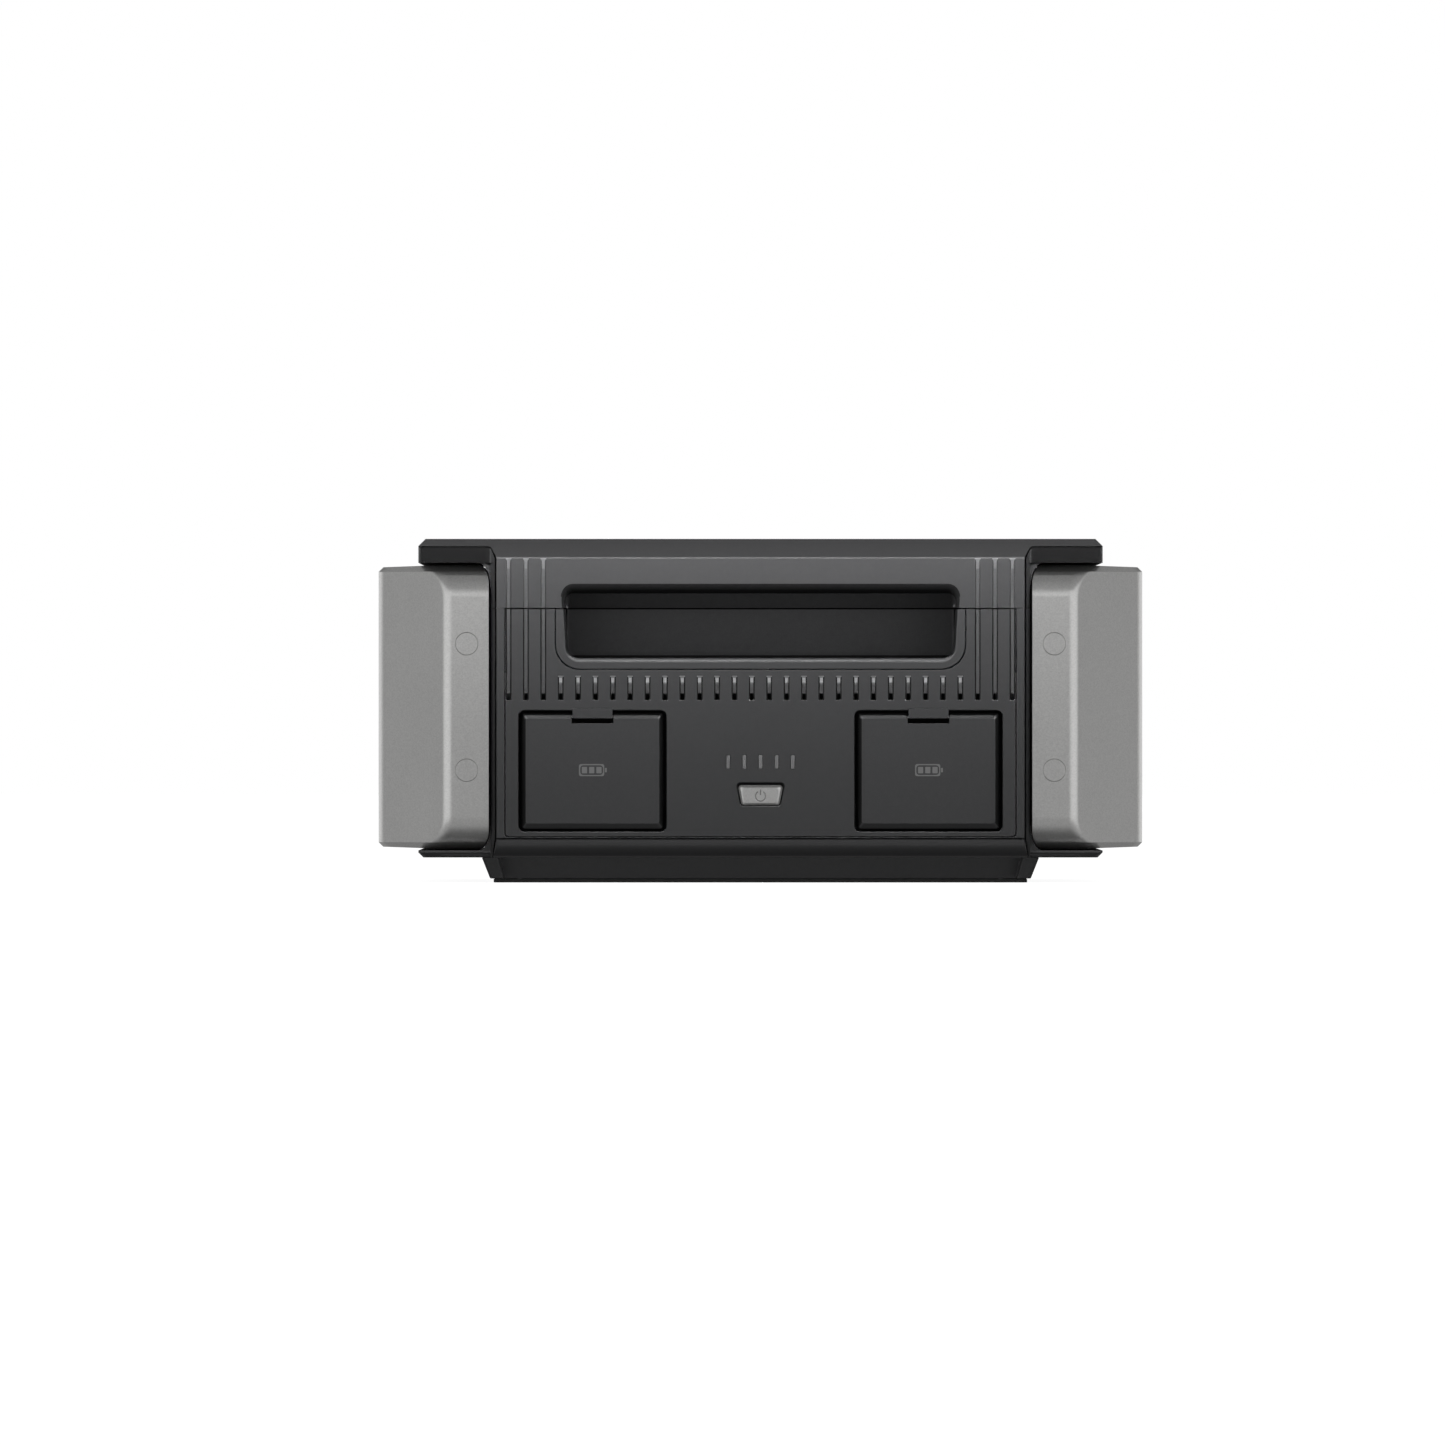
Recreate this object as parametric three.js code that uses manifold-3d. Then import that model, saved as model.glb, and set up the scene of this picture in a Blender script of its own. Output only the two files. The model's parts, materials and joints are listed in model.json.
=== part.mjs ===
// A stackable power station battery: a flat case with a grip at each end, a guard along each side,
// two covered battery sockets, a charge gauge and a power button on its front face.
// Units are millimetres. +Z is up, -Y is the front, and the origin is the middle of the footprint.
import * as THREE from "three";
import { mergeVertices } from "three/addons/utils/BufferGeometryUtils.js";
import Module from "manifold-3d";

const wasm = await Module();
wasm.setup();

// ---- Driving dimensions ----------------------------------------------------------------------

const WIDTH = 455; // over the side guards
const DEPTH = 660; // over the end faces
const HEIGHT = 204.5; // from the pads to the top
const GAP = 0.3; // between pieces that rest on each other
const WALL = 4; // case wall

const END_Y = DEPTH / 2; // the end faces stand at -END_Y and +END_Y
const FACE_HALF = 157; // half width of an end face
const WEB_HALF = 161; // half width of the case between its flanges
const FLANGE_HALF = 203.5; // half width over the flanges
const FLANGE_END = 321.5; // how far the flanges reach along Y
const FLANGE_UNDER = 190.3; // underside of the upper flange
const FLANGE_CHAMFER = 4;
const SEAM_Z = 163.3; // where the upper and lower shells meet
const FACE_TOP = 193.4; // top of the upright end face, where its bevel starts
const BEVEL_DEPTH = 14;
const FLANGE_FACE_TOP = FACE_TOP + (END_Y - FLANGE_END) * (HEIGHT - FACE_TOP) / BEVEL_DEPTH; // same bevel

const PAD_HEIGHT = 2.4;
const CASE_BOTTOM = 15;
const LOWER_FLANGE_TOP = 19.5;
const FLOOR_TOP = 19;
const TRAY_FLOOR = 191.5; // the tray in the top that holds the plinth of the unit above

const PLINTH = { half: 165.8, end: 297, draft: 4.6, railWidth: 10, setBack: 12 };
const TRAY_CLEARANCE = 1.5;

const PANEL_HALF = 152.2; // half width of the opening for an end panel
const PANEL_BOTTOM = 27.5;
const PANEL_THICK = 4;

const VENT = { pitch: 10.32, width: 3.3, depth: 2.2, bottom: 108.6, top: 122.9, hole: 4, short: 12, long: 3 };

const GRIP = { half: 116.3, halfLow: 114.2, top: 171.7, bottom: 133.6, ceiling: 184, floor: 130.5, back: 287 };
const CUP = { half: 122.2, bottom: 126.6, radius: 14.6, back: 283 };

const PORT = { x: 100, half: 43.8, bottom: 30.8, top: 102.6, radius: 3.6, depth: 26.5 };
const COVER = { gap: 1.8, face: 0.7, chamfer: 2, chamferTall: 3.2, thick: 6 };
const HINGE = { y: -326.5, z: 98.6, half: 11.9, top: 103.7, bottom: 97.6, pin: 1, bore: 1.1, pinHalf: 20, notch: 3.8 };
const SOCKET_Z = 60;

const BUTTON = { z: 51.95, halfTop: 12.3, halfLow: 10.5, halfTall: 5.3, radius: 1.2, margin: 1 };
const BOARD = { y: -316.2, thick: 1.6, postX: 42, postZ: [44, 86] };
const LENS = { z: 71.7, pitch: 9.63, half: 1.05, halfTall: 3.95, count: 5 };

const GUARD = { inner: 161.7, outer: WIDTH / 2, frontY: 325.5, top: 189.7, bottom: 19.8, wall: 3.5 };
const PLUG = { x: 174.7, heights: [66.9, 142.1], radius: 6.7, thick: 2.6 };
const SCREW = { head: 4.4, headLong: 4, shank: 2, end: 291 };
const LUG = { y0: 292, y1: 300, outer: 188, z0: 55, z1: 155 };

const BMS = { y: -289, thick: 1.6, z0: 30, z1: 120 };
const CELLS = { half: 74, x: 79, thick: 34.5, count: 16, bottom: 19.3, top: 150 };

// ---- Geometry helpers ------------------------------------------------------------------------

const ROUND_STEPS = 2;

// A closed three.js geometry as a solid that can be joined and cut.
function solid(geometry) {
  const bare = geometry.index ? geometry.toNonIndexed() : geometry.clone();
  bare.deleteAttribute("normal");
  bare.deleteAttribute("uv");
  const merged = mergeVertices(bare, 1e-3);
  const vertProperties = merged.attributes.position.array;
  const triVerts = new Uint32Array(merged.index.array);
  return new wasm.Manifold(new wasm.Mesh({ numProp: 3, vertProperties, triVerts }));
}

// A solid as three.js geometry.
function geometryOf(body) {
  const mesh = body.getMesh();
  const geometry = new THREE.BufferGeometry();
  geometry.setAttribute("position", new THREE.BufferAttribute(new Float32Array(mesh.vertProperties), 3));
  geometry.setIndex(new THREE.BufferAttribute(new Uint32Array(mesh.triVerts), 1));
  geometry.computeVertexNormals();
  return geometry;
}

// Turns drawn outlines, which lie in XY and rise along Z, so that they run along X or Y instead.
const ALONG = {
  x: new THREE.Matrix4().makeBasis(
    new THREE.Vector3(0, 1, 0), new THREE.Vector3(0, 0, 1), new THREE.Vector3(1, 0, 0)),
  y: new THREE.Matrix4().makeBasis(
    new THREE.Vector3(1, 0, 0), new THREE.Vector3(0, 0, 1), new THREE.Vector3(0, -1, 0)),
  z: new THREE.Matrix4(),
};

// An outline extruded along an axis, from one coordinate to another. Along x it is drawn in YZ, along y in XZ.
function prism(axis, outline, from, to) {
  const geometry = new THREE.ExtrudeGeometry(outline, {
    depth: to - from, bevelEnabled: false, curveSegments: ROUND_STEPS });
  geometry.translate(0, 0, axis === "y" ? -to : from);
  geometry.applyMatrix4(ALONG[axis]);
  return solid(geometry);
}

function box(x0, x1, y0, y1, z0, z1) {
  const geometry = new THREE.BoxGeometry(x1 - x0, y1 - y0, z1 - z0);
  geometry.translate((x0 + x1) / 2, (y0 + y1) / 2, (z0 + z1) / 2);
  return solid(geometry);
}

// A straight-sided outline through points.
function polygon(points) {
  return new THREE.Shape(points.map(([x, y]) => new THREE.Vector2(x, y)));
}

// An outline through points whose corners are rounded. A point is [x, y] or [x, y, radius].
function rounded(points) {
  const shape = new THREE.Shape();
  points.forEach((point, i) => {
    const here = new THREE.Vector2(point[0], point[1]);
    const before = points[(i + points.length - 1) % points.length];
    const after = points[(i + 1) % points.length];
    const toBefore = new THREE.Vector2(before[0], before[1]).sub(here).normalize();
    const toAfter = new THREE.Vector2(after[0], after[1]).sub(here).normalize();
    const radius = point[2] || 0;
    const half = Math.acos(THREE.MathUtils.clamp(toBefore.dot(toAfter), -1, 1)) / 2;
    const cut = radius / Math.tan(half);
    const enter = here.clone().addScaledVector(toBefore, cut);
    const leave = here.clone().addScaledVector(toAfter, cut);
    if (i === 0) shape.moveTo(enter.x, enter.y);
    else shape.lineTo(enter.x, enter.y);
    if (radius > 0) {
      const centre = here.clone().add(toBefore.clone().add(toAfter).normalize().multiplyScalar(radius / Math.sin(half)));
      const a0 = Math.atan2(enter.y - centre.y, enter.x - centre.x);
      const a1 = Math.atan2(leave.y - centre.y, leave.x - centre.x);
      const turn = Math.atan2(Math.sin(a1 - a0), Math.cos(a1 - a0));
      shape.absarc(centre.x, centre.y, radius, a0, a0 + turn, turn < 0);
    }
  });
  shape.closePath();
  return shape;
}

function roundedBox(x0, x1, z0, z1, radius) {
  return rounded([[x0, z0, radius], [x1, z0, radius], [x1, z1, radius], [x0, z1, radius]]);
}

// A straight-sided outline that changes size from one height to another, as a plinth with draft does.
function tapered(lowPoints, highPoints, z0, z1) {
  const n = lowPoints.length;
  const vertices = [];
  lowPoints.forEach(([x, y]) => vertices.push(x, y, z0));
  highPoints.forEach(([x, y]) => vertices.push(x, y, z1));
  const cap = THREE.ShapeUtils.triangulateShape(lowPoints.map(([x, y]) => new THREE.Vector2(x, y)), []);
  const index = [];
  cap.forEach(([a, b, c]) => index.push(c, b, a, a + n, b + n, c + n));
  for (let i = 0; i < n; i++) {
    const j = (i + 1) % n;
    index.push(i, j, j + n, i, j + n, i + n);
  }
  const geometry = new THREE.BufferGeometry();
  geometry.setAttribute("position", new THREE.Float32BufferAttribute(vertices, 3));
  geometry.setIndex(index);
  return solid(geometry);
}

// A round rod along X or Y, from one coordinate to another, centred on the other two.
function rod(axis, radius, from, to, a, b, sides = 12) {
  const geometry = new THREE.CylinderGeometry(radius, radius, to - from, sides);
  if (axis === "x") {
    geometry.rotateZ(-Math.PI / 2);
    geometry.translate((from + to) / 2, a, b);
  } else {
    geometry.translate(a, (from + to) / 2, b);
  }
  return solid(geometry);
}

function union(bodies) {
  return bodies.reduce((sum, body) => sum.add(body));
}

function cut(body, tools) {
  return tools.reduce((rest, tool) => rest.subtract(tool), body);
}

// The same solid at the other end of the case, turned half round about Z.
function otherEnd(body) {
  return solid(geometryOf(body).rotateZ(Math.PI));
}

function bothEnds(body) {
  return [body, otherEnd(body)];
}

// The same solid on the other side of the case, mirrored in X.
function mirrored(body) {
  const geometry = geometryOf(body).scale(-1, 1, 1);
  const index = geometry.index.array;
  for (let i = 0; i < index.length; i += 3) [index[i], index[i + 1]] = [index[i + 1], index[i]];
  return solid(geometry);
}

// ---- Finishes --------------------------------------------------------------------------------

const FINISH = {
  case: { color: 0x3a3b3d, roughness: 0.62, metalness: 0 },
  frame: { color: 0x1c1d1f, roughness: 0.6, metalness: 0 },
  guard: { color: 0x94938f, roughness: 0.38, metalness: 0.6 },
  rubber: { color: 0x111112, roughness: 0.85, metalness: 0 },
  cover: { color: 0x333436, roughness: 0.7, metalness: 0 },
  key: { color: 0x8f8e8c, roughness: 0.45, metalness: 0.3 },
  lens: { color: 0x9a9a9c, roughness: 0.35, metalness: 0 },
  steel: { color: 0x9a9c9f, roughness: 0.3, metalness: 1 },
  copper: { color: 0xb98a4a, roughness: 0.3, metalness: 1 },
  board: { color: 0x15452c, roughness: 0.5, metalness: 0 },
  cell: { color: 0x31567f, roughness: 0.5, metalness: 0.1 },
};
const materials = Object.fromEntries(
  Object.entries(FINISH).map(([name, look]) => [name, new THREE.MeshStandardMaterial(look)]));

const station = new THREE.Group();

function piece(name, finish, body) {
  const mesh = new THREE.Mesh(geometryOf(body), materials[finish]);
  mesh.name = name;
  station.add(mesh);
  return mesh;
}

// ---- Outlines shared by several pieces ---------------------------------------------------------

// Plan of the block behind an end face: its sides flare outwards until they meet the flanges.
function endBlockPlan(half, inward) {
  return rounded([
    [-half, -END_Y], [half, -END_Y],
    [half + 3.5, -END_Y + 7], [WEB_HALF, -FLANGE_END + 1], [WEB_HALF, -inward],
    [-WEB_HALF, -inward], [-WEB_HALF, -FLANGE_END + 1], [-half - 3.5, -END_Y + 7],
  ]);
}

// Mouth of a grip, drawn in XZ: its sides lean in and its lower corners are the rounder ones.
function gripMouth(low, high) {
  return rounded([
    [-GRIP.halfLow, low, 7], [GRIP.halfLow, low, 7],
    [GRIP.half, high, 4], [-GRIP.half, high, 4],
  ]);
}

// Outline of the cup that closes the lower half of a grip, drawn in XZ.
function cupOutline(half, bottom, top) {
  return rounded([[-half, bottom, CUP.radius], [half, bottom, CUP.radius], [half, top], [-half, top]]);
}

// Outline of the power key, drawn in XZ and grown by a margin.
function keyOutline(margin) {
  const top = BUTTON.z + BUTTON.halfTall + margin;
  const low = BUTTON.z - BUTTON.halfTall - margin;
  const radius = BUTTON.radius + margin;
  return rounded([
    [-BUTTON.halfLow - margin, low, radius], [BUTTON.halfLow + margin, low, radius],
    [BUTTON.halfTop + margin, top, radius], [-BUTTON.halfTop - margin, top, radius],
  ]);
}

// Plan of the plinth with its setbacks between the rails, grown by a margin.
function plinthPlan(margin) {
  const side = PLINTH.half + margin;
  const end = PLINTH.end + margin;
  const rail = PLINTH.half - PLINTH.railWidth - margin;
  const back = PLINTH.end - PLINTH.setBack + margin;
  return [
    [-side, -end], [-rail, -end], [-rail, -back], [rail, -back], [rail, -end], [side, -end],
    [side, end], [rail, end], [rail, back], [-rail, back], [-rail, end], [-side, end],
  ];
}

function rectangle(halfX, halfY) {
  return [[-halfX, -halfY], [halfX, -halfY], [halfX, halfY], [-halfX, halfY]];
}

// Cutters for the vents of one end face, from the lowest vent to the height of the long grooves' top.
function ventCutters(grooveFrom, grooveTo) {
  const cutters = [];
  for (const side of [-1, 1]) {
    for (let i = 0; i < VENT.short + VENT.long; i++) {
      const x = side * (i + 0.5) * VENT.pitch;
      const isLong = i >= VENT.short;
      const top = isLong ? grooveTo : VENT.top;
      const low = Math.max(VENT.bottom, grooveFrom);
      if (!isLong && grooveFrom > VENT.bottom) continue;
      cutters.push(box(x - VENT.width / 2, x + VENT.width / 2, -END_Y - 1, -END_Y + VENT.depth, low, top));
      if (grooveFrom <= VENT.bottom) {
        cutters.push(box(
          x - VENT.width / 2 + GAP, x + VENT.width / 2 - GAP,
          -END_Y - 1, -END_Y + PANEL_THICK + 1, low, low + VENT.hole));
      }
    }
  }
  return cutters;
}

// ---- Case shells -------------------------------------------------------------------------------

function makeTopCover() {
  const low = SEAM_Z + GAP / 2;
  const flangeSection = polygon([
    [-FLANGE_HALF, FLANGE_UNDER], [FLANGE_HALF, FLANGE_UNDER],
    [FLANGE_HALF, HEIGHT - FLANGE_CHAMFER], [FLANGE_HALF - FLANGE_CHAMFER, HEIGHT],
    [-FLANGE_HALF + FLANGE_CHAMFER, HEIGHT], [-FLANGE_HALF, HEIGHT - FLANGE_CHAMFER],
  ]);
  const flangeSide = polygon([
    [-FLANGE_END, FLANGE_UNDER - 1], [FLANGE_END, FLANGE_UNDER - 1],
    [FLANGE_END, FLANGE_FACE_TOP], [END_Y - BEVEL_DEPTH, HEIGHT],
    [-END_Y + BEVEL_DEPTH, HEIGHT], [-FLANGE_END, FLANGE_FACE_TOP],
  ]);
  const flange = prism("y", flangeSection, -FLANGE_END, FLANGE_END)
    .intersect(prism("x", flangeSide, -FLANGE_HALF - 1, FLANGE_HALF + 1));
  const web = box(-WEB_HALF, WEB_HALF, -FLANGE_END + 5, FLANGE_END - 5, low, FLANGE_UNDER + 1);
  const bevelSide = polygon([
    [-END_Y, low], [-END_Y + 40, low], [-END_Y + 40, HEIGHT],
    [-END_Y + BEVEL_DEPTH, HEIGHT], [-END_Y, FACE_TOP],
  ]);
  const endBlock = prism("z", endBlockPlan(FACE_HALF, END_Y - 35), low, HEIGHT)
    .intersect(prism("x", bevelSide, -WEB_HALF - 1, WEB_HALF + 1));
  const hollow = union([
    box(-WEB_HALF + WALL, WEB_HALF - WALL, -END_Y + 24, END_Y - 24, low - 1, TRAY_FLOOR - WALL + 0.5),
    box(-FACE_HALF + WALL, FACE_HALF - WALL, -END_Y + WALL, END_Y - WALL, low - 1, TRAY_FLOOR - WALL + 0.5),
  ]);
  const tray = tapered(
    rectangle(PLINTH.half - PLINTH.draft + TRAY_CLEARANCE, PLINTH.end - PLINTH.draft + TRAY_CLEARANCE),
    rectangle(PLINTH.half + TRAY_CLEARANCE, PLINTH.end + TRAY_CLEARANCE),
    TRAY_FLOOR, HEIGHT + 0.01);
  const flangeRelief = box(
    WEB_HALF + WALL, FLANGE_HALF - WALL, -FLANGE_END + 8, FLANGE_END - 8, FLANGE_UNDER - 1, TRAY_FLOOR - 0.5 + WALL);
  const mouth = prism("y", gripMouth(SEAM_Z - 20, GRIP.top), -END_Y - 1, -END_Y + WALL + 1);
  const grooves = ventCutters(SEAM_Z - 1, HEIGHT);
  const shell = union([flange, web, ...bothEnds(endBlock)]);
  return cut(shell, [
    hollow, tray, flangeRelief, mirrored(flangeRelief),
    ...bothEnds(mouth), ...grooves, ...grooves.map(otherEnd),
  ]);
}

function makeLowerHousing() {
  const top = SEAM_Z - GAP / 2;
  const undercut = 10; // radius of the end block's lower front edge
  const side = rounded([
    [-END_Y, CASE_BOTTOM, undercut], [-END_Y + 40, CASE_BOTTOM], [-END_Y + 40, top], [-END_Y, top],
  ]);
  const endBlock = prism("z", endBlockPlan(FACE_HALF, END_Y - 35), CASE_BOTTOM, top)
    .intersect(prism("x", side, -WEB_HALF - 1, WEB_HALF + 1));
  const web = box(-WEB_HALF, WEB_HALF, -FLANGE_END + 5, FLANGE_END - 5, CASE_BOTTOM, top);
  const flangeSection = polygon([
    [-FLANGE_HALF + FLANGE_CHAMFER, CASE_BOTTOM], [FLANGE_HALF - FLANGE_CHAMFER, CASE_BOTTOM],
    [FLANGE_HALF, CASE_BOTTOM + FLANGE_CHAMFER], [FLANGE_HALF, LOWER_FLANGE_TOP],
    [-FLANGE_HALF, LOWER_FLANGE_TOP], [-FLANGE_HALF, CASE_BOTTOM + FLANGE_CHAMFER],
  ]);
  const flange = prism("y", flangeSection, -FLANGE_END, FLANGE_END);
  const lug = box(WEB_HALF - 1, LUG.outer, -LUG.y1, -LUG.y0, LUG.z0, LUG.z1);
  const lugs = [...bothEnds(lug), ...bothEnds(mirrored(lug))];
  const hollow = union([
    box(-WEB_HALF + WALL, WEB_HALF - WALL, -END_Y + 24, END_Y - 24, FLOOR_TOP, top + 1),
    box(-FACE_HALF + WALL, FACE_HALF - WALL, -END_Y + WALL, END_Y - WALL, PANEL_BOTTOM - 3, top + 1),
  ]);
  const doorway = prism("y", rounded([
    [-PANEL_HALF, PANEL_BOTTOM, 2.3], [PANEL_HALF, PANEL_BOTTOM, 2.3], [PANEL_HALF, top + 1], [-PANEL_HALF, top + 1],
  ]), -END_Y - 1, -END_Y + WALL + 1);
  const screwHoles = [];
  for (const z of PLUG.heights) {
    for (const x of [-PLUG.x, PLUG.x]) {
      screwHoles.push(...bothEnds(rod("y", SCREW.shank + GAP, -LUG.y1 - 1, -LUG.y0 + 1, x, z, 12)));
    }
  }
  return cut(union([web, flange, ...bothEnds(endBlock), ...lugs]), [hollow, ...bothEnds(doorway), ...screwHoles]);
}

// The flat plate of an end panel, with its vents and the notch for the grip's cup.
function panelPlate() {
  const half = PANEL_HALF - GAP;
  const top = SEAM_Z - GAP;
  const plate = prism("y", rounded([
    [-half, PANEL_BOTTOM + GAP, 2], [half, PANEL_BOTTOM + GAP, 2], [half, top], [-half, top],
  ]), -END_Y, -END_Y + PANEL_THICK);
  const notch = prism("y", cupOutline(CUP.half, CUP.bottom, top + 2), -END_Y - 1, -END_Y + PANEL_THICK + 1);
  return cut(plate, [notch, ...ventCutters(0, top + 1)]);
}

// The pocket behind a battery port: its outer box, and the space cut out of it.
function portPocket(x) {
  const wall = 2.5;
  const back = -END_Y + PORT.depth;
  const outer = box(
    x - PORT.half - wall, x + PORT.half + wall, -END_Y + PANEL_THICK - 1, back + wall,
    PORT.bottom - wall, PORT.top + wall);
  const mouth = prism("y",
    roundedBox(x - PORT.half, x + PORT.half, PORT.bottom, PORT.top, PORT.radius), -END_Y - 1, back);
  const socketHole = prism("y",
    roundedBox(x - 24.3, x + 24.3, SOCKET_Z - 17.3, SOCKET_Z + 17.3, 4), back - 1, back + wall + 1);
  const hingeSlot = box(
    x - HINGE.half - GAP, x + HINGE.half + GAP, -END_Y - 1, -END_Y + 7, PORT.top - 1, HINGE.top + GAP);
  return { outer, cutters: [mouth, socketHole, hingeSlot] };
}

function makeFrontPanel() {
  const left = portPocket(-PORT.x);
  const right = portPocket(PORT.x);
  const through = [-END_Y - 1, -END_Y + PANEL_THICK + 1];
  const keyHole = prism("y", keyOutline(BUTTON.margin), ...through);
  const lensHoles = lensPositions().map((x) => box(
    x - LENS.half - GAP, x + LENS.half + GAP, ...through,
    LENS.z - LENS.halfTall - GAP, LENS.z + LENS.halfTall + GAP));
  const posts = BOARD.postZ.flatMap((z) => [-BOARD.postX, BOARD.postX].map((x) =>
    rod("y", 3, -END_Y + PANEL_THICK - 1, BOARD.y - GAP, x, z)));
  return cut(union([panelPlate(), left.outer, right.outer, ...posts]),
    [...left.cutters, ...right.cutters, keyHole, ...lensHoles]);
}

// ---- Grips ---------------------------------------------------------------------------------------

function makeHandleCup() {
  const top = SEAM_Z - GAP;
  const block = prism("y", cupOutline(CUP.half - GAP, CUP.bottom + GAP, top), -END_Y, -CUP.back);
  const mouth = prism("y", gripMouth(GRIP.bottom, GRIP.top), -END_Y - 1, -END_Y + 9);
  const cavity = prism("y", gripMouth(GRIP.floor, GRIP.top), -END_Y + 8, -GRIP.back);
  return cut(block, [mouth, cavity]);
}

function makeHandleHood() {
  const low = SEAM_Z + GAP;
  const block = box(
    -CUP.half + GAP, CUP.half - GAP, -END_Y + WALL + GAP, -CUP.back, low, TRAY_FLOOR - WALL);
  const cavity = prism("y", gripMouth(low - 20, GRIP.ceiling), -END_Y, -GRIP.back);
  return cut(block, [cavity]);
}

// ---- Battery ports -------------------------------------------------------------------------------

function makePortCover(x) {
  const half = PORT.half - COVER.gap;
  const low = PORT.bottom + COVER.gap;
  const high = PORT.top - COVER.gap + 0.2;
  const face = -END_Y + COVER.face;
  const shoulder = face + COVER.chamfer;
  const plate = prism("y", roundedBox(x - half, x + half, low, high, 2), shoulder, face + COVER.thick);
  const middle = (low + high) / 2;
  const tall = (high - low) / 2;
  const crown = tapered(
    rectangle(half, tall), rectangle(half - COVER.chamfer, tall - COVER.chamferTall), -shoulder, -face);
  const raised = solid(geometryOf(crown).rotateX(Math.PI / 2).translate(x, 0, middle));
  const corners = prism("y", roundedBox(x - half, x + half, low, high, 2), face - 1, shoulder + 1);
  const notch = box(
    x - HINGE.half - GAP, x + HINGE.half + GAP, face - 1, face + COVER.thick + 1, HINGE.z - HINGE.notch, high + 1);
  const bore = rod("x", HINGE.bore, x - HINGE.pinHalf - GAP, x + HINGE.pinHalf + GAP, HINGE.y, HINGE.z, 12);
  return cut(union([plate, raised.intersect(corners)]), [notch, bore]);
}

// The soft ring on the back of a port cover.
function makePortSeal(x) {
  const inset = 6;
  const half = PORT.half - COVER.gap - inset;
  const low = PORT.bottom + COVER.gap + inset;
  const high = PORT.top - 14;
  const back = -END_Y + COVER.face + COVER.thick + GAP;
  const ring = prism("y", roundedBox(x - half, x + half, low, high, 4), back, back + 2);
  return cut(ring, [prism("y", roundedBox(x - half + 2, x + half - 2, low + 2, high - 2, 2), back - 1, back + 3)]);
}

function makeHingeBlock(x) {
  const block = box(
    x - HINGE.half, x + HINGE.half, -END_Y, HINGE.y + 2.6, HINGE.bottom, HINGE.top);
  return cut(block, [rod("x", HINGE.bore, x - HINGE.half - 1, x + HINGE.half + 1, HINGE.y, HINGE.z, 12)]);
}

function makeHingePin(x) {
  return rod("x", HINGE.pin, x - HINGE.pinHalf, x + HINGE.pinHalf, HINGE.y, HINGE.z, 12);
}

const CONTACT = { dx: 12, radius: 3, tip: 313, end: 292 };

function makePortSocket(x) {
  const floor = -END_Y + PORT.depth;
  const flange = prism("y", roundedBox(x - 28, x + 28, SOCKET_Z - 21, SOCKET_Z + 21, 4), floor - 3, floor - GAP);
  const body = prism("y", roundedBox(x - 24, x + 24, SOCKET_Z - 17, SOCKET_Z + 17, 4), floor - 12.5, floor + 6.5);
  const well = prism("y",
    roundedBox(x - 21.5, x + 21.5, SOCKET_Z - 14.5, SOCKET_Z + 14.5, 2.5), floor - 13.5, floor + 0.5);
  const bores = [-CONTACT.dx, CONTACT.dx].map((dx) =>
    rod("y", CONTACT.radius + GAP, floor - 1, floor + 8, x + dx, SOCKET_Z));
  return cut(union([flange, body]), [well, ...bores]);
}

// ---- Power key and charge gauge ------------------------------------------------------------------

function lensPositions() {
  return Array.from({ length: LENS.count }, (_, i) => (i - (LENS.count - 1) / 2) * LENS.pitch);
}

function makeLens(x) {
  return box(
    x - LENS.half, x + LENS.half, -END_Y, -END_Y + 12, LENS.z - LENS.halfTall, LENS.z + LENS.halfTall);
}

function makePowerButton() {
  const inner = -END_Y + PANEL_THICK + GAP;
  const key = prism("y", keyOutline(0), -END_Y + 0.2, inner + 0.1);
  const stop = prism("y", keyOutline(BUTTON.margin + 1.2), inner, inner + 1.5);
  const stem = rod("y", 2.5, inner + 1, inner + 4.2, 0, BUTTON.z, 12);
  return union([key, stop, stem]);
}

function makeIndicatorBoard() {
  return box(-50, 50, BOARD.y, BOARD.y + BOARD.thick, 38, 92);
}

function makePowerSwitch() {
  return union([
    box(-4, 4, BOARD.y - 3, BOARD.y - GAP, BUTTON.z - 4, BUTTON.z + 4),
    rod("y", 1.7, BOARD.y - 3.8, BOARD.y - 2.5, 0, BUTTON.z, 12),
  ]);
}

// ---- Side guards -----------------------------------------------------------------------------------

// The right guard's full form, or the form inset by a wall. Three outlines meet in it: the plan gives the
// slanted ends, the side view the rounded shoulders, and the end view the taper and the edge chamfers.
function guardForm(inset) {
  const front = GUARD.frontY - inset;
  const outer = GUARD.outer - inset;
  const low = GUARD.bottom + inset;
  const high = GUARD.top - inset;
  const inner = GUARD.inner - (inset ? 1 : 0);
  const shoulderX = 187 - inset * 0.6; // where the upright front turns into the slant
  const slantEnd = 276 - inset;
  const plan = prism("z", rounded([
    [inner, -front], [shoulderX, -front, 9], [outer, -slantEnd, 10],
    [outer, slantEnd, 10], [shoulderX, front, 9], [inner, front],
  ]), low, high);
  const side = prism("x", rounded([
    [-front, low, 20 - inset], [front, low, 20 - inset], [front, high, 20 - inset], [-front, high, 20 - inset],
  ]), inner - 1, outer + 1);
  const taper = 1.9;
  const end = prism("y", polygon([
    [inner, low], [outer - 6, low + taper], [outer, low + taper + 4],
    [outer, high - taper - 4], [outer - 6, high - taper], [inner, high],
  ]), -front, front);
  return plan.intersect(side).intersect(end);
}

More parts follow.
